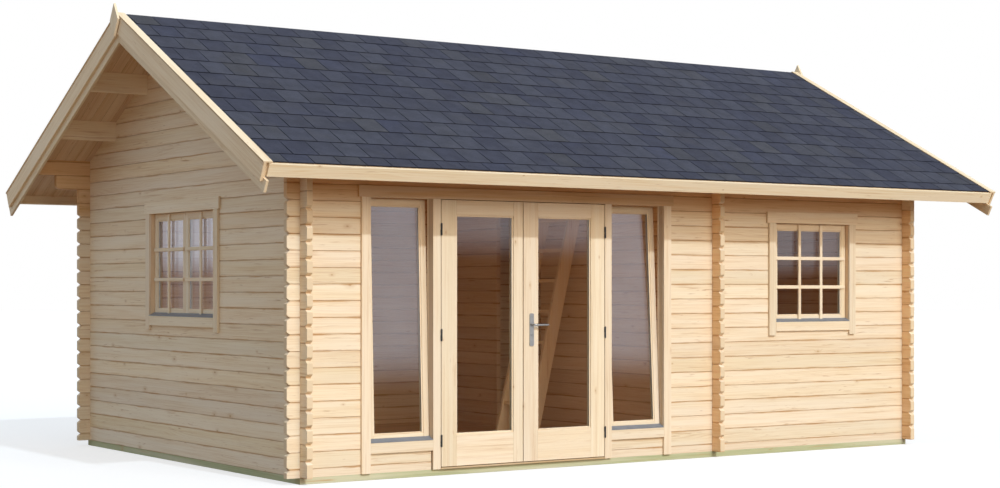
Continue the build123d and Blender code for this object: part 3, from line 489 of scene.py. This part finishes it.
# Looks of the solids that no piece takes the place of
NODE_LOOK = {
    "logs_x": "front_wall_left front_wall_middle front_wall_right front_wall_sills front_wall_over_window "
              "front_wall_top back_wall back_wall_top",
    "logs_y": "left_wall left_wall_sill left_gable right_gable",
    "log_tails": "partition partition_lintel right_wall",
    "wood_x": "purlins side_light_aprons side_light_sills door_frame_head loft_joists",
    "fascia": "fascias",
    "head_board": "door_head_board",
    "threshold": "door_threshold",
    "wood_y": "loft_ledger",
    "wood_z": "door_side_boards finials",
    "door_post": "door_frame_uprights",
    "ladder_y": "ladder_treads",
    "ladder_z": "ladder_stiles",
    "wood_slope": "bargeboards barge_backings",
    "verge_cap": "verge_caps",
    "treated_x": "foundation_beams",
    "treated_y": "floor_bearers",
    "glass_door": "left_door_glass right_door_glass",
    "glass_side": "side_light_glass",
    "glass_window": "window_glass",
    "drip": "window_drips",
}
# Walls whose parts meet in one line of logs, where a rounded edge would part the log
MEETING_WALLS = ("front_wall_left", "front_wall_middle", "front_wall_right", "front_wall_sills",
                 "front_wall_over_window", "left_wall", "left_wall_sill")
for look, names in NODE_LOOK.items():
    for node in names.split():
        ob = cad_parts[node]
        ob.data.materials.clear()
        ob.data.materials.append(M[look])
        if not look.startswith("glass") and node not in MEETING_WALLS:
            soften(ob, BOARD_EDGE)


# A face counts as the side of a solid where its normal rises less than this
SIDE_FACE = 0.6


class Piece:
    """Collects boards, each with softened edges and a grain seed of its own, into one mesh."""

    def __init__(self, name, body, slot, *replaced):
        self.name, self.body, self.slot, self.replaced = name, body, slot, replaced
        self.verts, self.faces, self.looks, self.seeds, self.mats, self.smooth = [], [], [], [], [], []

    def solid(self, low, high, look, edge=BOARD_EDGE, move=None, steps=2, rim=None):
        """Solid between two outlines with their corners in the same order. rim is the look of its sides."""
        bm = bmesh.new()
        a = [bm.verts.new(p) for p in low]
        b = [bm.verts.new(p) for p in high]
        bm.faces.new(a[::-1])
        bm.faces.new(b)
        for k in range(len(a)):
            n = (k + 1) % len(a)
            bm.faces.new((a[k], a[n], b[n], b[k]))
        bmesh.ops.recalc_face_normals(bm, faces=bm.faces)
        if edge:
            bmesh.ops.bevel(bm, geom=bm.edges[:], offset=edge, segments=steps, profile=0.5,
                            affect="EDGES", clamp_overlap=True)
        self.take(bm, look, move, rim=rim)

    def take(self, bm, look, move=None, smooth=False, rim=None):
        """Add a bmesh, with a seed drawn for it, and free it."""
        bm.normal_update()
        upright = [rim is not None and abs(f.normal.z) < SIDE_FACE for f in bm.faces]
        if move is not None:
            bm.transform(move)
        for name in (look, rim):
            if name is not None and name not in self.mats:
                self.mats.append(name)
        start = len(self.verts)
        seed = rng.uniform(0, 900)
        bm.verts.index_update()
        for v in bm.verts:
            self.verts.append(v.co.copy())
            self.seeds.append(seed)
        for f, side in zip(bm.faces, upright):
            self.faces.append([start + v.index for v in f.verts])
            self.looks.append(self.mats.index(rim if side else look))
            self.smooth.append(smooth and len(f.verts) < 5)
        bm.free()

    def box(self, x0, x1, y0, y1, z0, z1, look, edge=BOARD_EDGE, move=None):
        low = [(x0, y0, z0), (x1, y0, z0), (x1, y1, z0), (x0, y1, z0)]
        high = [(x, y, z1) for x, y, z in low]
        self.solid(low, high, look, edge, move)

    def ring(self, x0, x1, y0, y1, z0, z1, member, across, up, edge=BOARD_EDGE, move=None):
        """Frame in the XZ plane: uprights the full height, and members between them."""
        self.box(x0, x0 + member, y0, y1, z0, z1, up, edge, move)
        self.box(x1 - member, x1, y0, y1, z0, z1, up, edge, move)
        self.box(x0 + member, x1 - member, y0, y1, z0, z0 + member, across, edge, move)
        self.box(x0 + member, x1 - member, y0, y1, z1 - member, z1, across, edge, move)

    def rod(self, start, end, radius, look, sides=24, edge=0.0008):
        """Turned bar between two points, its ends slightly rounded."""
        bm = bmesh.new()
        start, end = Vector(start), Vector(end)
        length = (end - start).length
        bmesh.ops.create_cone(bm, cap_ends=True, segments=sides, radius1=radius, radius2=radius, depth=length)
        rims = [e for e in bm.edges if len({round(v.co.z, 6) for v in e.verts}) == 1]
        bmesh.ops.bevel(bm, geom=rims, offset=edge, segments=2, profile=0.5,
                        affect="EDGES", clamp_overlap=True)
        turn = (end - start).to_track_quat("Z", "Y").to_matrix().to_4x4()
        bm.transform(Matrix.Translation((start + end) / 2) @ turn)
        self.take(bm, look, smooth=True)

    def tube(self, path, radii, look, sides=20):
        """Closed tube along a path of points, with its own radius at each point."""
        bm = bmesh.new()
        rings = []
        for k, (point, radius) in enumerate(zip(path, radii)):
            ahead = Vector(path[min(k + 1, len(path) - 1)]) - Vector(path[max(k - 1, 0)])
            side = ahead.cross(Vector((0, 0, 1))).normalized()
            up = side.cross(ahead).normalized()
            loop = []
            for n in range(sides):
                a = 2 * math.pi * n / sides
                out = side * radius * math.cos(a) + up * radius * math.sin(a)
                loop.append(bm.verts.new(Vector(point) + out))
            rings.append(loop)
        for a, b in zip(rings, rings[1:]):
            for n in range(sides):
                m = (n + 1) % sides
                bm.faces.new((a[n], a[m], b[m], b[n]))
        bm.faces.new(rings[0][::-1])
        bm.faces.new(rings[-1])
        bmesh.ops.recalc_face_normals(bm, faces=bm.faces)
        self.take(bm, look, smooth=True)

    def done(self):
        mesh = bpy.data.meshes.new(self.name)
        mesh.from_pydata(self.verts, [], self.faces)
        for look in self.mats:
            mesh.materials.append(M[look])
        mesh.polygons.foreach_set("material_index", self.looks)
        mesh.attributes.new("seed", "FLOAT", "POINT").data.foreach_set("value", self.seeds)
        mesh.polygons.foreach_set("use_smooth", self.smooth)
        mesh.update()
        ob = bpy.data.objects.new(self.name, mesh)
        bpy.context.scene.collection.objects.link(ob)
        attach(ob, self.body)
        if self.replaced:
            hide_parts(*self.replaced)


def slope_frame(side):
    """Matrix from (x, distance down the slope, stand) to the cabin, for the front (-1) or the back (1)."""
    return Matrix(((1, 0, 0, 0),
                   (0, side * math.cos(SLOPE), side * math.sin(SLOPE), 0),
                   (0, -math.sin(SLOPE), math.cos(SLOPE), RIDGE_UNDERSIDE),
                   (0, 0, 0, 1)))


def slope_point(side, along, stand):
    """Point (y, z) given along and square to a roof slope."""
    return (side * (along * math.cos(SLOPE) + stand * math.sin(SLOPE)),
            RIDGE_UNDERSIDE - along * math.sin(SLOPE) + stand * math.cos(SLOPE))


def slope_end(reach, thickness):
    """Distance along the slope to the lower end of a layer whose box reaches that far from the ridge."""
    return (reach - thickness * math.sin(SLOPE)) / math.cos(SLOPE)


# Roof boards, ridge to eave, with a V between each pair on the underside
BOARD_COUNT = 76
ROOF_BOARD_GAP = 0.0002
deck_low, deck_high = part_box("front_roof_deck")
deck_end = slope_end(-deck_low[1], DECK_THICKNESS)
pitch = (deck_high[0] - deck_low[0]) / BOARD_COUNT
for side, word in ((-1, "front"), (1, "back")):
    boards = Piece(word + "_roof_boards", "cabin", "roof_deck", word + "_roof_deck")
    outline = [(0, RIDGE_UNDERSIDE), (0, RIDGE_UNDERSIDE + DECK_THICKNESS / math.cos(SLOPE)),
               slope_point(side, deck_end, DECK_THICKNESS), slope_point(side, deck_end, 0)]
    for k in range(BOARD_COUNT):
        x = deck_low[0] + pitch * k
        ends = [[(at, y, z) for y, z in outline] for at in (x + ROOF_BOARD_GAP, x + pitch - ROOF_BOARD_GAP)]
        boards.solid(*ends, "roof_boards", TRIM_EDGE)
    boards.done()

# Shingles: courses of tabs, half a tab to the side in every second course.
# LOW and HIGH are stands, square to the slope from the underside of the boards. PHASES are the shares of
# a tab that even and odd courses are moved by.
TAB, SLOT, TAB_LEAST, VERGE_GAP = 0.195, 0.006, 0.012, 0.004
PHASES = (0.20, 0.70)
FIRST_COURSE, COURSE, WHOLE_COURSES = 0.197, 0.236, 11
SHINGLE_THICKNESS, HEAD_LAP = 0.010, 0.006
FELT_LOW, FELT_HIGH, FELT_SHORT = 0.0182, 0.0205, 0.004
HEAD_LOW, HEAD_HIGH, RIDGE_HIGH = 0.0192, 0.0225, 0.0220
FOOT_LOW, FOOT_HIGH, LAST_LOW = 0.0222, 0.0268, 0.0184
TAB_WANDER, TAB_EDGE = 0.0012, 0.0007


def shingle_tab(piece, x0, x1, head, foot, last, move):
    """Tab from head to foot. The first course meets in the ridge, and the last one lies on the deck."""
    foot += rng.uniform(-TAB_WANDER, 0.0)
    foot_high = FOOT_HIGH + rng.uniform(0.0, TAB_WANDER)
    head_high = HEAD_HIGH if head else RIDGE_HIGH
    start, top_start = head - HEAD_LAP, head - HEAD_LAP
    if head == 0:
        start, top_start = -HEAD_LOW * math.tan(SLOPE), -head_high * math.tan(SLOPE)
    head_low, foot_low = (LAST_LOW, LAST_LOW) if last else (HEAD_LOW, FOOT_LOW)
    low = [(x0, start, head_low), (x1, start, head_low), (x1, foot, foot_low), (x0, foot, foot_low)]
    high = [(x0, top_start, head_high), (x1, top_start, head_high),
            (x1, foot, foot_high), (x0, foot, foot_high)]
    piece.solid(low, high, "shingle", TAB_EDGE, move, steps=1, rim="shingle_edge")


shingle_low, shingle_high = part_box("front_shingles")
x_low, x_high = shingle_low[0] + VERGE_GAP, shingle_high[0] - VERGE_GAP
last_foot = slope_end(-shingle_low[1], DECK_THICKNESS + SHINGLE_THICKNESS)
course_feet = [0.0] + [FIRST_COURSE + COURSE * k for k in range(WHOLE_COURSES)] + [last_foot]
for side, word in ((-1, "front"), (1, "back")):
    roofing = Piece(word + "_shingle_tabs", "cabin", "shingles", word + "_shingles")
    move = slope_frame(side)
    roofing.box(x_low, x_high, -FELT_LOW * math.tan(SLOPE), last_foot - FELT_SHORT, FELT_LOW, FELT_HIGH,
                "shingle", 0, move)
    for row in range(1, len(course_feet)):
        x = LEFT + TAB * PHASES[row % 2]
        x -= TAB * math.ceil((x - x_low) / TAB)
        while x < x_high:
            x0, x1 = max(x + SLOT / 2, x_low), min(x + TAB - SLOT / 2, x_high)
            if x1 - x0 >= TAB_LEAST:
                shingle_tab(roofing, x0, x1, course_feet[row - 1], course_feet[row],
                            row == len(course_feet) - 1, move)
            x += TAB
    roofing.done()


# Beads round the panes, and strips between the two sheets of glass
BEAD_WIDTH, BEAD_OUTER, BEAD_GAP = 0.011, 0.005, 0.0002
SPACER_WIDTH, SPACER_START, SPACER_END, SPACER_GAP = 0.006, 0.004, 0.012, 0.0004


def beads(piece, pane, y0, y1, move, looks):
    """Thin strips round a pane, the ones across between the upright ones."""
    x0, x1, z0, z1 = pane
    for a, b in ((z0, z0 + BEAD_WIDTH), (z1 - BEAD_WIDTH, z1)):
        piece.box(x0 + BEAD_WIDTH, x1 - BEAD_WIDTH, y0, y1, a, b, looks[0], TRIM_EDGE, move)
    for a, b in ((x0, x0 + BEAD_WIDTH), (x1 - BEAD_WIDTH, x1)):
        piece.box(a, b, y0, y1, z0, z1, looks[1], TRIM_EDGE, move)


def glazing(wooden, metal, pane, y0, y1, bead, move=None, looks=("sash_x", "sash_z")):
    """Beads on both faces of a pane that goes from y0 to y1, and the strip between its two sheets."""
    beads(wooden, pane, y1 + BEAD_GAP, y1 + BEAD_GAP + bead, move, looks)
    beads(wooden, pane, y0 - BEAD_GAP - BEAD_OUTER, y0 - BEAD_GAP, move, looks)
    x0, x1, z0, z1 = pane
    metal.ring(x0 + SPACER_GAP, x1 - SPACER_GAP, y0 + SPACER_START, y0 + SPACER_END,
               z0 + SPACER_GAP, z1 - SPACER_GAP, SPACER_WIDTH, "spacer", "spacer", SPACER_GAP, move)


# Door leaves: stiles the full height, and rails between them
DOOR_BEAD = 0.010
for word in ("left", "right"):
    low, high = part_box(word + "_door_leaf")
    g_low, g_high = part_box(word + "_door_glass")
    door = Piece(word + "_door_boards", word + "_door", "joinery", word + "_door_leaf")
    strip = Piece(word + "_door_spacer", word + "_door", "drip_metal")
    for a, b in ((low[0], g_low[0]), (g_high[0], high[0])):
        door.box(a, b, low[1], high[1], low[2], high[2], "wood_z", LEAF_EDGE)
    for a, b in ((low[2], g_low[2]), (g_high[2], high[2])):
        door.box(g_low[0] + BOARD_GAP, g_high[0] - BOARD_GAP, low[1], high[1], a, b, "wood_x", LEAF_EDGE)
    pane = (g_low[0], g_high[0], g_low[2], g_high[2])
    glazing(door, strip, pane, g_low[1], g_high[1], DOOR_BEAD)
    door.done()
    strip.done()

# Side lights: distance from the corner, and degrees that they tilt inwards about their lower edge
SIDE_LIGHTS = ((0.542, 1.8), (2.637, 2.8))
LIGHT_WIDTH, LIGHT_BOTTOM, LIGHT_TOP, LIGHT_SETBACK = 0.507, 0.259, 1.957, 0.030
SASH_BEAD = 0.008
lights_wood = Piece("side_light_frames", "cabin", "joinery", "side_light_sashes")
light_strips = Piece("side_light_spacers", "cabin", "drip_metal")
for place, tilt in SIDE_LIGHTS:
    x0, x1 = LEFT + place + SASH_GAP, LEFT + place + LIGHT_WIDTH - SASH_GAP
    height = LIGHT_TOP - LIGHT_BOTTOM
    lean = Matrix.Rotation(math.radians(-tilt), 4, "X")
    lean = Matrix.Translation((0, FRONT + LIGHT_SETBACK, LIGHT_BOTTOM)) @ lean
    lights_wood.ring(x0, x1, 0, SASH_THICKNESS, 0, height, SASH_WIDTH, "sash_x", "sash_z", TRIM_EDGE, lean)
    pane = (x0 + SASH_WIDTH, x1 - SASH_WIDTH, SASH_WIDTH, height - SASH_WIDTH)
    glazing(lights_wood, light_strips, pane, GLASS_INSET, GLASS_INSET + GLASS_THICKNESS, SASH_BEAD, lean)
lights_wood.done()
light_strips.done()


# Windows: the casing and its sill board outdoors, and the bars before the glass
WINDOW_HEIGHT = 0.797
CASING_HEAD, HEAD_OVERHANG, SILL_BOARD, CASING_TAIL = 0.092, 0.022, 0.075, 0.034
BAR_HALF, BAR_DEPTH, BAR_STEP, BAR_END_UP, BAR_END_ACROSS = 0.0135, 0.0145, 0.0004, 0.006, 0.016


def window(pieces, width, bottom, sashes, across, move):
    """Window from x = 0 to width, the outer face of its wall at y = 0. across is the axis of the wall."""
    frames, casings, sash_wood, bars, strips = pieces
    top = bottom + WINDOW_HEIGHT
    wood_across, wood_up = "wood_" + across, "wood_z"
    frames.ring(-FRAME, width + FRAME, 0, LOG_THICKNESS, bottom - FRAME, top + FRAME, FRAME,
                "frame_" + across, "frame_z", BOARD_EDGE, move)

    head, foot, over = top + CASING_HEAD, bottom - SILL_BOARD, CASING_WIDTH + HEAD_OVERHANG
    outside, inside = (-CASING, 0), (LOG_THICKNESS, LOG_THICKNESS + CASING)
    casings.box(-over, width + over, *outside, top, head, wood_across, TRIM_EDGE, move)
    for x in (-CASING_WIDTH, width):
        casings.box(x, x + CASING_WIDTH, *outside, foot - CASING_TAIL, top - BOARD_GAP,
                    wood_up, TRIM_EDGE, move)
        casings.box(x, x + CASING_WIDTH, *inside, bottom - CASING_WIDTH, top, wood_up, TRIM_EDGE, move)
    casings.box(BOARD_GAP, width - BOARD_GAP, *outside, foot, bottom, wood_across, TRIM_EDGE, move)
    casings.box(-CASING_WIDTH, width + CASING_WIDTH, *inside, top, head, wood_across, TRIM_EDGE, move)
    casings.box(0, width, *inside, bottom - CASING_WIDTH, bottom, wood_across, TRIM_EDGE, move)

    pitch = (width - SASH_GAP) / sashes
    lanes = 3 if sashes == 1 else 2
    looks = ("sash_" + across, "sash_z")
    glass, face, back = SASH_FACE + GLASS_INSET, SASH_FACE - BAR_DEPTH, SASH_FACE - BOARD_GAP
    for k in range(sashes):
        x0, x1, z0, z1 = SASH_GAP + pitch * k, pitch * (k + 1), bottom + SASH_GAP, top - SASH_GAP
        sash_wood.ring(x0, x1, SASH_FACE, SASH_FACE + SASH_THICKNESS, z0, z1, SASH_WIDTH, *looks,
                       TRIM_EDGE, move)
        pane = (x0 + SASH_WIDTH, x1 - SASH_WIDTH, z0 + SASH_WIDTH, z1 - SASH_WIDTH)
        glazing(sash_wood, strips, pane, glass, glass + GLASS_THICKNESS, SASH_BEAD, move, looks)
        for n in range(1, lanes):
            x = pane[0] + (pane[1] - pane[0]) * n / lanes
            bars.box(x - BAR_HALF, x + BAR_HALF, face, back, z0 + BAR_END_UP, z1 - BAR_END_UP,
                     looks[1], LEAF_EDGE, move)
        for n in (1, 2):
            z = pane[2] + (pane[3] - pane[2]) * n / 3
            bars.box(x0 + BAR_END_ACROSS, x1 - BAR_END_ACROSS, face + BAR_STEP, back,
                     z - BAR_HALF, z + BAR_HALF, looks[0], LEAF_EDGE, move)


window_pieces = (Piece("window_frame_boards", "cabin", "joinery", "window_frames"),
                 Piece("window_casing_boards", "cabin", "boards", "window_casings"),
                 Piece("window_sash_frames", "cabin", "joinery", "window_sashes"),
                 Piece("window_bars", "cabin", "joinery"),
                 Piece("window_spacers", "cabin", "drip_metal"))
FRONT_WINDOW, FRONT_WINDOW_WIDTH, FRONT_WINDOW_SILL = 4.305, 0.815, 1.054
GABLE_WINDOW, GABLE_WINDOW_WIDTH, GABLE_WINDOW_SILL = 0.580, 1.160, 1.111
in_front = Matrix.Translation((LEFT + FRONT_WINDOW, FRONT, 0))
in_gable = Matrix.Translation((LEFT, GABLE_WINDOW, 0)) @ Matrix.Rotation(math.radians(-90), 4, "Z")
window(window_pieces, FRONT_WINDOW_WIDTH, FRONT_WINDOW_SILL, 1, "x", in_front)
window(window_pieces, GABLE_WINDOW_WIDTH, GABLE_WINDOW_SILL, 2, "y", in_gable)
for piece in window_pieces:
    piece.done()

# Casing round the door group, indoors: distance of each upright from the corner, and its width
INNER_UPRIGHTS = ((0.470, CASING_WIDTH), (1.049, 0.064), (2.573, 0.064), (3.144, CASING_WIDTH))
INNER_HEAD = 0.080
low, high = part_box("door_inner_casing")
inner = Piece("door_inner_boards", "cabin", "boards", "door_inner_casing")
inner.box(low[0], high[0], low[1], high[1], high[2] - INNER_HEAD, high[2], "wood_x", TRIM_EDGE)
for place, width in INNER_UPRIGHTS:
    inner.box(LEFT + place, LEFT + place + width, low[1], high[1], low[2], high[2] - INNER_HEAD - BOARD_GAP,
              "wood_z", TRIM_EDGE)
inner.done()


# Floors and loft, board by board
PLANK_WIDTH, PLANK_CLEARANCE = 0.112, 0.005


def planks(piece, low, high, along):
    """Tongued boards side by side over a box, along x (0) or y (1)."""
    side = 1 - along
    count = round((high[side] - low[side]) / PLANK_WIDTH)
    pitch = (high[side] - low[side]) / count
    for k in range(count):
        a, b = list(low), list(high)
        a[side] = low[side] + pitch * k + BOARD_GAP
        b[side] = low[side] + pitch * (k + 1) - BOARD_GAP
        piece.box(a[0], b[0], a[1], b[1], a[2], b[2], "floor_" + "xy"[along], PLANK_EDGE)


low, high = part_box("floor_boards")
wall_low, wall_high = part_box("partition")
ground = Piece("floor_planks", "cabin", "boards", "floor_boards")
planks(ground, low, (wall_low[0] - PLANK_CLEARANCE, high[1], high[2]), 0)
planks(ground, (wall_high[0] + PLANK_CLEARANCE, low[1], low[2]), high, 0)
ground.done()
low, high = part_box("loft_boards")
loft = Piece("loft_planks", "cabin", "boards", "loft_boards")
planks(loft, low, high, 1)
loft.done()


# Hinges: two barrels on a pin, with a turned tip at each end. HINGES holds the leaf, how far its pins are
# from the corner, and the way the leaf lies.
HINGES = (("left", 1.1155, 1), ("right", 2.5705, -1))
HINGE_LEVELS, HINGE_OUT = (0.246, 0.996, 1.746), 0.0265
BARREL_RADIUS, BARREL_END, BARREL_GAP, BARREL_ROUNDING = 0.0065, 0.041, 0.0005, 0.0012
TIP_RADIUS, TIP_START, TIP_END, TIP_ROUNDING = 0.0042, 0.0408, 0.044, 0.0014
PIN_RADIUS, PIN_LOW, PIN_HIGH = 0.0033, 0.001, 0.036
FLAG_REACH, FLAG_FRONT, FLAG_BACK, FLAG_EDGE = 0.0062, 0.0045, 0.0063, 0.0003
FLAG_LOW, FLAG_HIGH = 0.002, 0.040


def hinge_half(piece, x, level, up, side):
    """Barrel, tip and flag of a hinge, above its level (1) or below it (-1), with the flag to a side."""
    y = FRONT - HINGE_OUT
    start = BARREL_GAP if up > 0 else 0
    for a, b, radius, rounding in ((start, BARREL_END, BARREL_RADIUS, BARREL_ROUNDING),
                                   (TIP_START, TIP_END, TIP_RADIUS, TIP_ROUNDING)):
        z0, z1 = sorted((level + up * a, level + up * b))
        piece.rod((x, y, z0), (x, y, z1), radius, "hinge", edge=rounding)
    if up < 0:
        piece.rod((x, y, level - PIN_LOW), (x, y, level + PIN_HIGH), PIN_RADIUS, "hinge")
    x0, x1 = sorted((x, x + side * FLAG_REACH))
    z0, z1 = sorted((level + up * FLAG_LOW, level + up * FLAG_HIGH))
    piece.box(x0, x1, y + FLAG_FRONT, y + FLAG_BACK, z0, z1, "hinge", FLAG_EDGE)


for word, place, side in HINGES:
    upper = Piece(word + "_hinge_barrels", word + "_door", "hinge_metal", word + "_door_hinges")
    for level in HINGE_LEVELS:
        hinge_half(upper, LEFT + place, level, 1, side)
    upper.done()
lower = Piece("post_hinge_barrels", "cabin", "hinge_metal", "frame_hinges")
for _, place, side in HINGES:
    for level in HINGE_LEVELS:
        hinge_half(lower, LEFT + place, level, -1, -side)
lower.done()


# Lever handle: a long plate with a keyhole on each face, and a bent lever. Stands are from the door's face.
HANDLE_X, HANDLE_Z = LEFT + 1.897, 1.060
DOOR_FACES = ((FRONT - 0.020, -1), (FRONT + 0.024, 1))
SPINDLE_HALF, SPINDLE_EDGE = 0.004, 0.0005
SPINDLE_START, SPINDLE_END = FRONT - 0.058, FRONT + 0.062
PLATE_HALF, PLATE_TOP, PLATE_FOOT = 0.008, 0.073, -0.145
PLATE_CORNER, PLATE_STAND, PLATE_EDGE = 0.011, 0.006, 0.0018
CYLINDER_Z, CYLINDER_RADIUS, CYLINDER_STAND = HANDLE_Z - 0.072, 0.008, 0.010
KEY_HALF_WIDTH, KEY_HALF_HEIGHT, KEY_DEPTH = 0.0008, 0.005, 0.0002
SCREW_LEVELS, SCREW_RADIUS, SCREW_STAND = (HANDLE_Z + 0.068, HANDLE_Z - 0.140), 0.0035, 0.0072
ROSE_RADIUS, ROSE_LOW, ROSE_HIGH = 0.013, 0.0065, 0.0105
LEVER_START, LEVER_NECK, LEVER_BEND, LEVER_RADIUS = 0.0066, 0.020, 0.018, 0.0078
LEVER_REACH = (0.035, 0.060, 0.090, 0.120, 0.126, 0.130, 0.1315)
LEVER_RADII = (0.0080, 0.0080, 0.0078, 0.0074, 0.0068, 0.0048, 0.0022)
ROUNDING, SCREW_ROUNDING = 0.001, 0.0008


def handle_side(plates, lever, face, out):
    """Plate, keyhole, screws, rose and lever on one face of the door. out is -1 outdoors and 1 indoors."""
    def at(x, stand, z):
        return HANDLE_X + x, face + out * stand, z

    def turned(piece, z, low, high, radius, sides, rounding):
        piece.rod(at(0, low, z), at(0, high, z), radius, "steel", sides, rounding)

    outline = []
    for cx, cz, start in ((PLATE_HALF, PLATE_TOP, 0), (-PLATE_HALF, PLATE_TOP, 90),
                          (-PLATE_HALF, PLATE_FOOT, 180), (PLATE_HALF, PLATE_FOOT, 270)):
        for k in range(7):
            a = math.radians(start + 15 * k)
            outline.append((cx + PLATE_CORNER * math.cos(a), HANDLE_Z + cz + PLATE_CORNER * math.sin(a)))
    plates.solid([at(x, 0, z) for x, z in outline], [at(x, PLATE_STAND, z) for x, z in outline],
                 "steel", PLATE_EDGE, steps=3)
    turned(plates, CYLINDER_Z, 0, CYLINDER_STAND, CYLINDER_RADIUS, 24, ROUNDING)
    # The keyhole is a thin dark sheet on the cylinder's face: painted shade where the hole would be
    y0, y1 = sorted(face + out * (CYLINDER_STAND + step) for step in (-KEY_DEPTH, KEY_DEPTH))
    plates.box(HANDLE_X - KEY_HALF_WIDTH, HANDLE_X + KEY_HALF_WIDTH, y0, y1,
               CYLINDER_Z - KEY_HALF_HEIGHT, CYLINDER_Z + KEY_HALF_HEIGHT, "hinge", 0)
    for z in SCREW_LEVELS:
        turned(plates, z, 0, SCREW_STAND, SCREW_RADIUS, 16, SCREW_ROUNDING)
    turned(lever, HANDLE_Z, ROSE_LOW, ROSE_HIGH, ROSE_RADIUS, 32, ROUNDING)
    path = [at(0, LEVER_START, HANDLE_Z), at(0, LEVER_NECK, HANDLE_Z)]
    for a in (math.radians(15 * k) for k in range(1, 7)):
        path.append(at(LEVER_BEND * (1 - math.cos(a)), LEVER_NECK + LEVER_BEND * math.sin(a), HANDLE_Z))
    radii = [LEVER_RADIUS] * len(path) + list(LEVER_RADII)
    path += [at(x, LEVER_NECK + LEVER_BEND, HANDLE_Z) for x in LEVER_REACH]
    lever.tube(path, radii, "steel")


plates = Piece("handle_plate_pair", "right_door", "handle_metal", "handle_plates")
lever = Piece("handle_levers", "door_handle", "handle_metal", "door_handle")
lever.box(HANDLE_X - SPINDLE_HALF, HANDLE_X + SPINDLE_HALF, SPINDLE_START, SPINDLE_END,
          HANDLE_Z - SPINDLE_HALF, HANDLE_Z + SPINDLE_HALF, "steel", SPINDLE_EDGE)
for face, out in DOOR_FACES:
    handle_side(plates, lever, face, out)
plates.done()
lever.done()


# The camera is level, where the photographer stood
CAMERA_PLACE, CAMERA_TOWARD = (-8.794, -13.017, 1.34), (0.5606, 0.8281, 0.0)
CAMERA_LENS, CAMERA_SENSOR, CAMERA_SHIFT = 66.67, 36.0, 0.0425


def seen(t):
    """1 for rays that show the stage, straight, mirrored or through glass, and 0 for the rest."""
    path = t.node("LightPath", out=None)
    return t.math("MAXIMUM", path.outputs["Is Camera Ray"],
                  t.math("MAXIMUM", path.outputs["Is Glossy Ray"], path.outputs["Is Transmission Ray"]))


def stage():
    """Pale floor that keeps the shadow, before a white world."""
    m, t = new_material("floor")
    shown = seen(t)
    speck = t.noise(t.node("TexCoord", out="Object"), 2.0, 3.0)
    pale = t.mix(speck, (0.47, 0.47, 0.47), (0.49, 0.49, 0.49))
    shader = t.node("BsdfDiffuse", {"Color": t.mix(shown, (0.25, 0.155, 0.088), pale)})
    glow = t.node("Emission", {"Color": (1, 1, 1), "Strength": t.times(shown, 0.60)})
    surface(t, t.node("AddShader", {0: shader, 1: glow}))
    bpy.ops.mesh.primitive_circle_add(vertices=128, radius=90, fill_type="NGON", location=(0, 0, -0.001))
    floor = bpy.context.object
    floor.name = "floor"
    floor.data.materials.append(m)
    floor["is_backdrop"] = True
    world = bpy.data.worlds.new("world")
    bpy.context.scene.world = world
    world.use_nodes = True
    world.node_tree.nodes.clear()
    t = Tree(world.node_tree)
    white = t.node("Background", {"Color": (1, 1, 1), "Strength": 1.0})
    fill = t.node("Background", {"Color": (0.76, 0.88, 1.0), "Strength": 0.66})
    out = t.node("OutputWorld", out=None)
    t.put(out.inputs["Surface"], t.node("MixShader", {0: seen(t), 1: fill, 2: white}))


def put_in_scene(name, data, place, toward, axis):
    """Object at a place, with one of its axes turned toward a direction."""
    ob = bpy.data.objects.new(name, data)
    bpy.context.scene.collection.objects.link(ob)
    ob.location = place
    ob.rotation_mode = "QUATERNION"
    ob.rotation_quaternion = Vector(toward).to_track_quat(axis, "Y")
    return ob


def sun(name, energy, color, spread, azimuth, elevation):
    """Sun lamp from a direction: degrees to the right of the front, and up."""
    data = bpy.data.lights.new(name, "SUN")
    data.energy, data.color, data.angle = energy, color, math.radians(spread)
    a, e = math.radians(azimuth), math.radians(elevation)
    from_there = (math.cos(e) * math.sin(a), -math.cos(e) * math.cos(a), math.sin(e))
    put_in_scene(name, data, (0, 0, 0), from_there, "Z")


def room_lamp(name, power, width, place):
    """Warm glow in a room, from an area lamp at the front that faces the back."""
    data = bpy.data.lights.new(name, "AREA")
    data.shape, data.size, data.size_y = "RECTANGLE", width, 1.2
    data.energy, data.color = power, (1.0, 0.42, 0.14)
    ob = put_in_scene(name, data, place, (0, 1, 0), "-Z")
    ob.visible_camera = ob.visible_glossy = False


def camera():
    """Camera of the photo, with the horizon below the middle."""
    data = bpy.data.cameras.new("camera")
    data.lens, data.sensor_width, data.shift_y, data.clip_end = CAMERA_LENS, CAMERA_SENSOR, CAMERA_SHIFT, 300
    bpy.context.scene.camera = put_in_scene("camera", data, CAMERA_PLACE, CAMERA_TOWARD, "-Z")


stage()
sun("key", 1.60, (0.77, 0.885, 1.0), 1.6, 1.5, 37.3)
sun("fill", 1.35, (1.0, 0.83, 0.62), 36, 8, 20)
room_lamp("main_room", 5.6, 2.4, (-1.05, -1.72, 1.15))
room_lamp("side_room", 1.9, 0.8, (1.80, -1.72, 1.45))
camera()
bpy.context.scene.view_settings.view_transform = "Standard"

low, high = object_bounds()
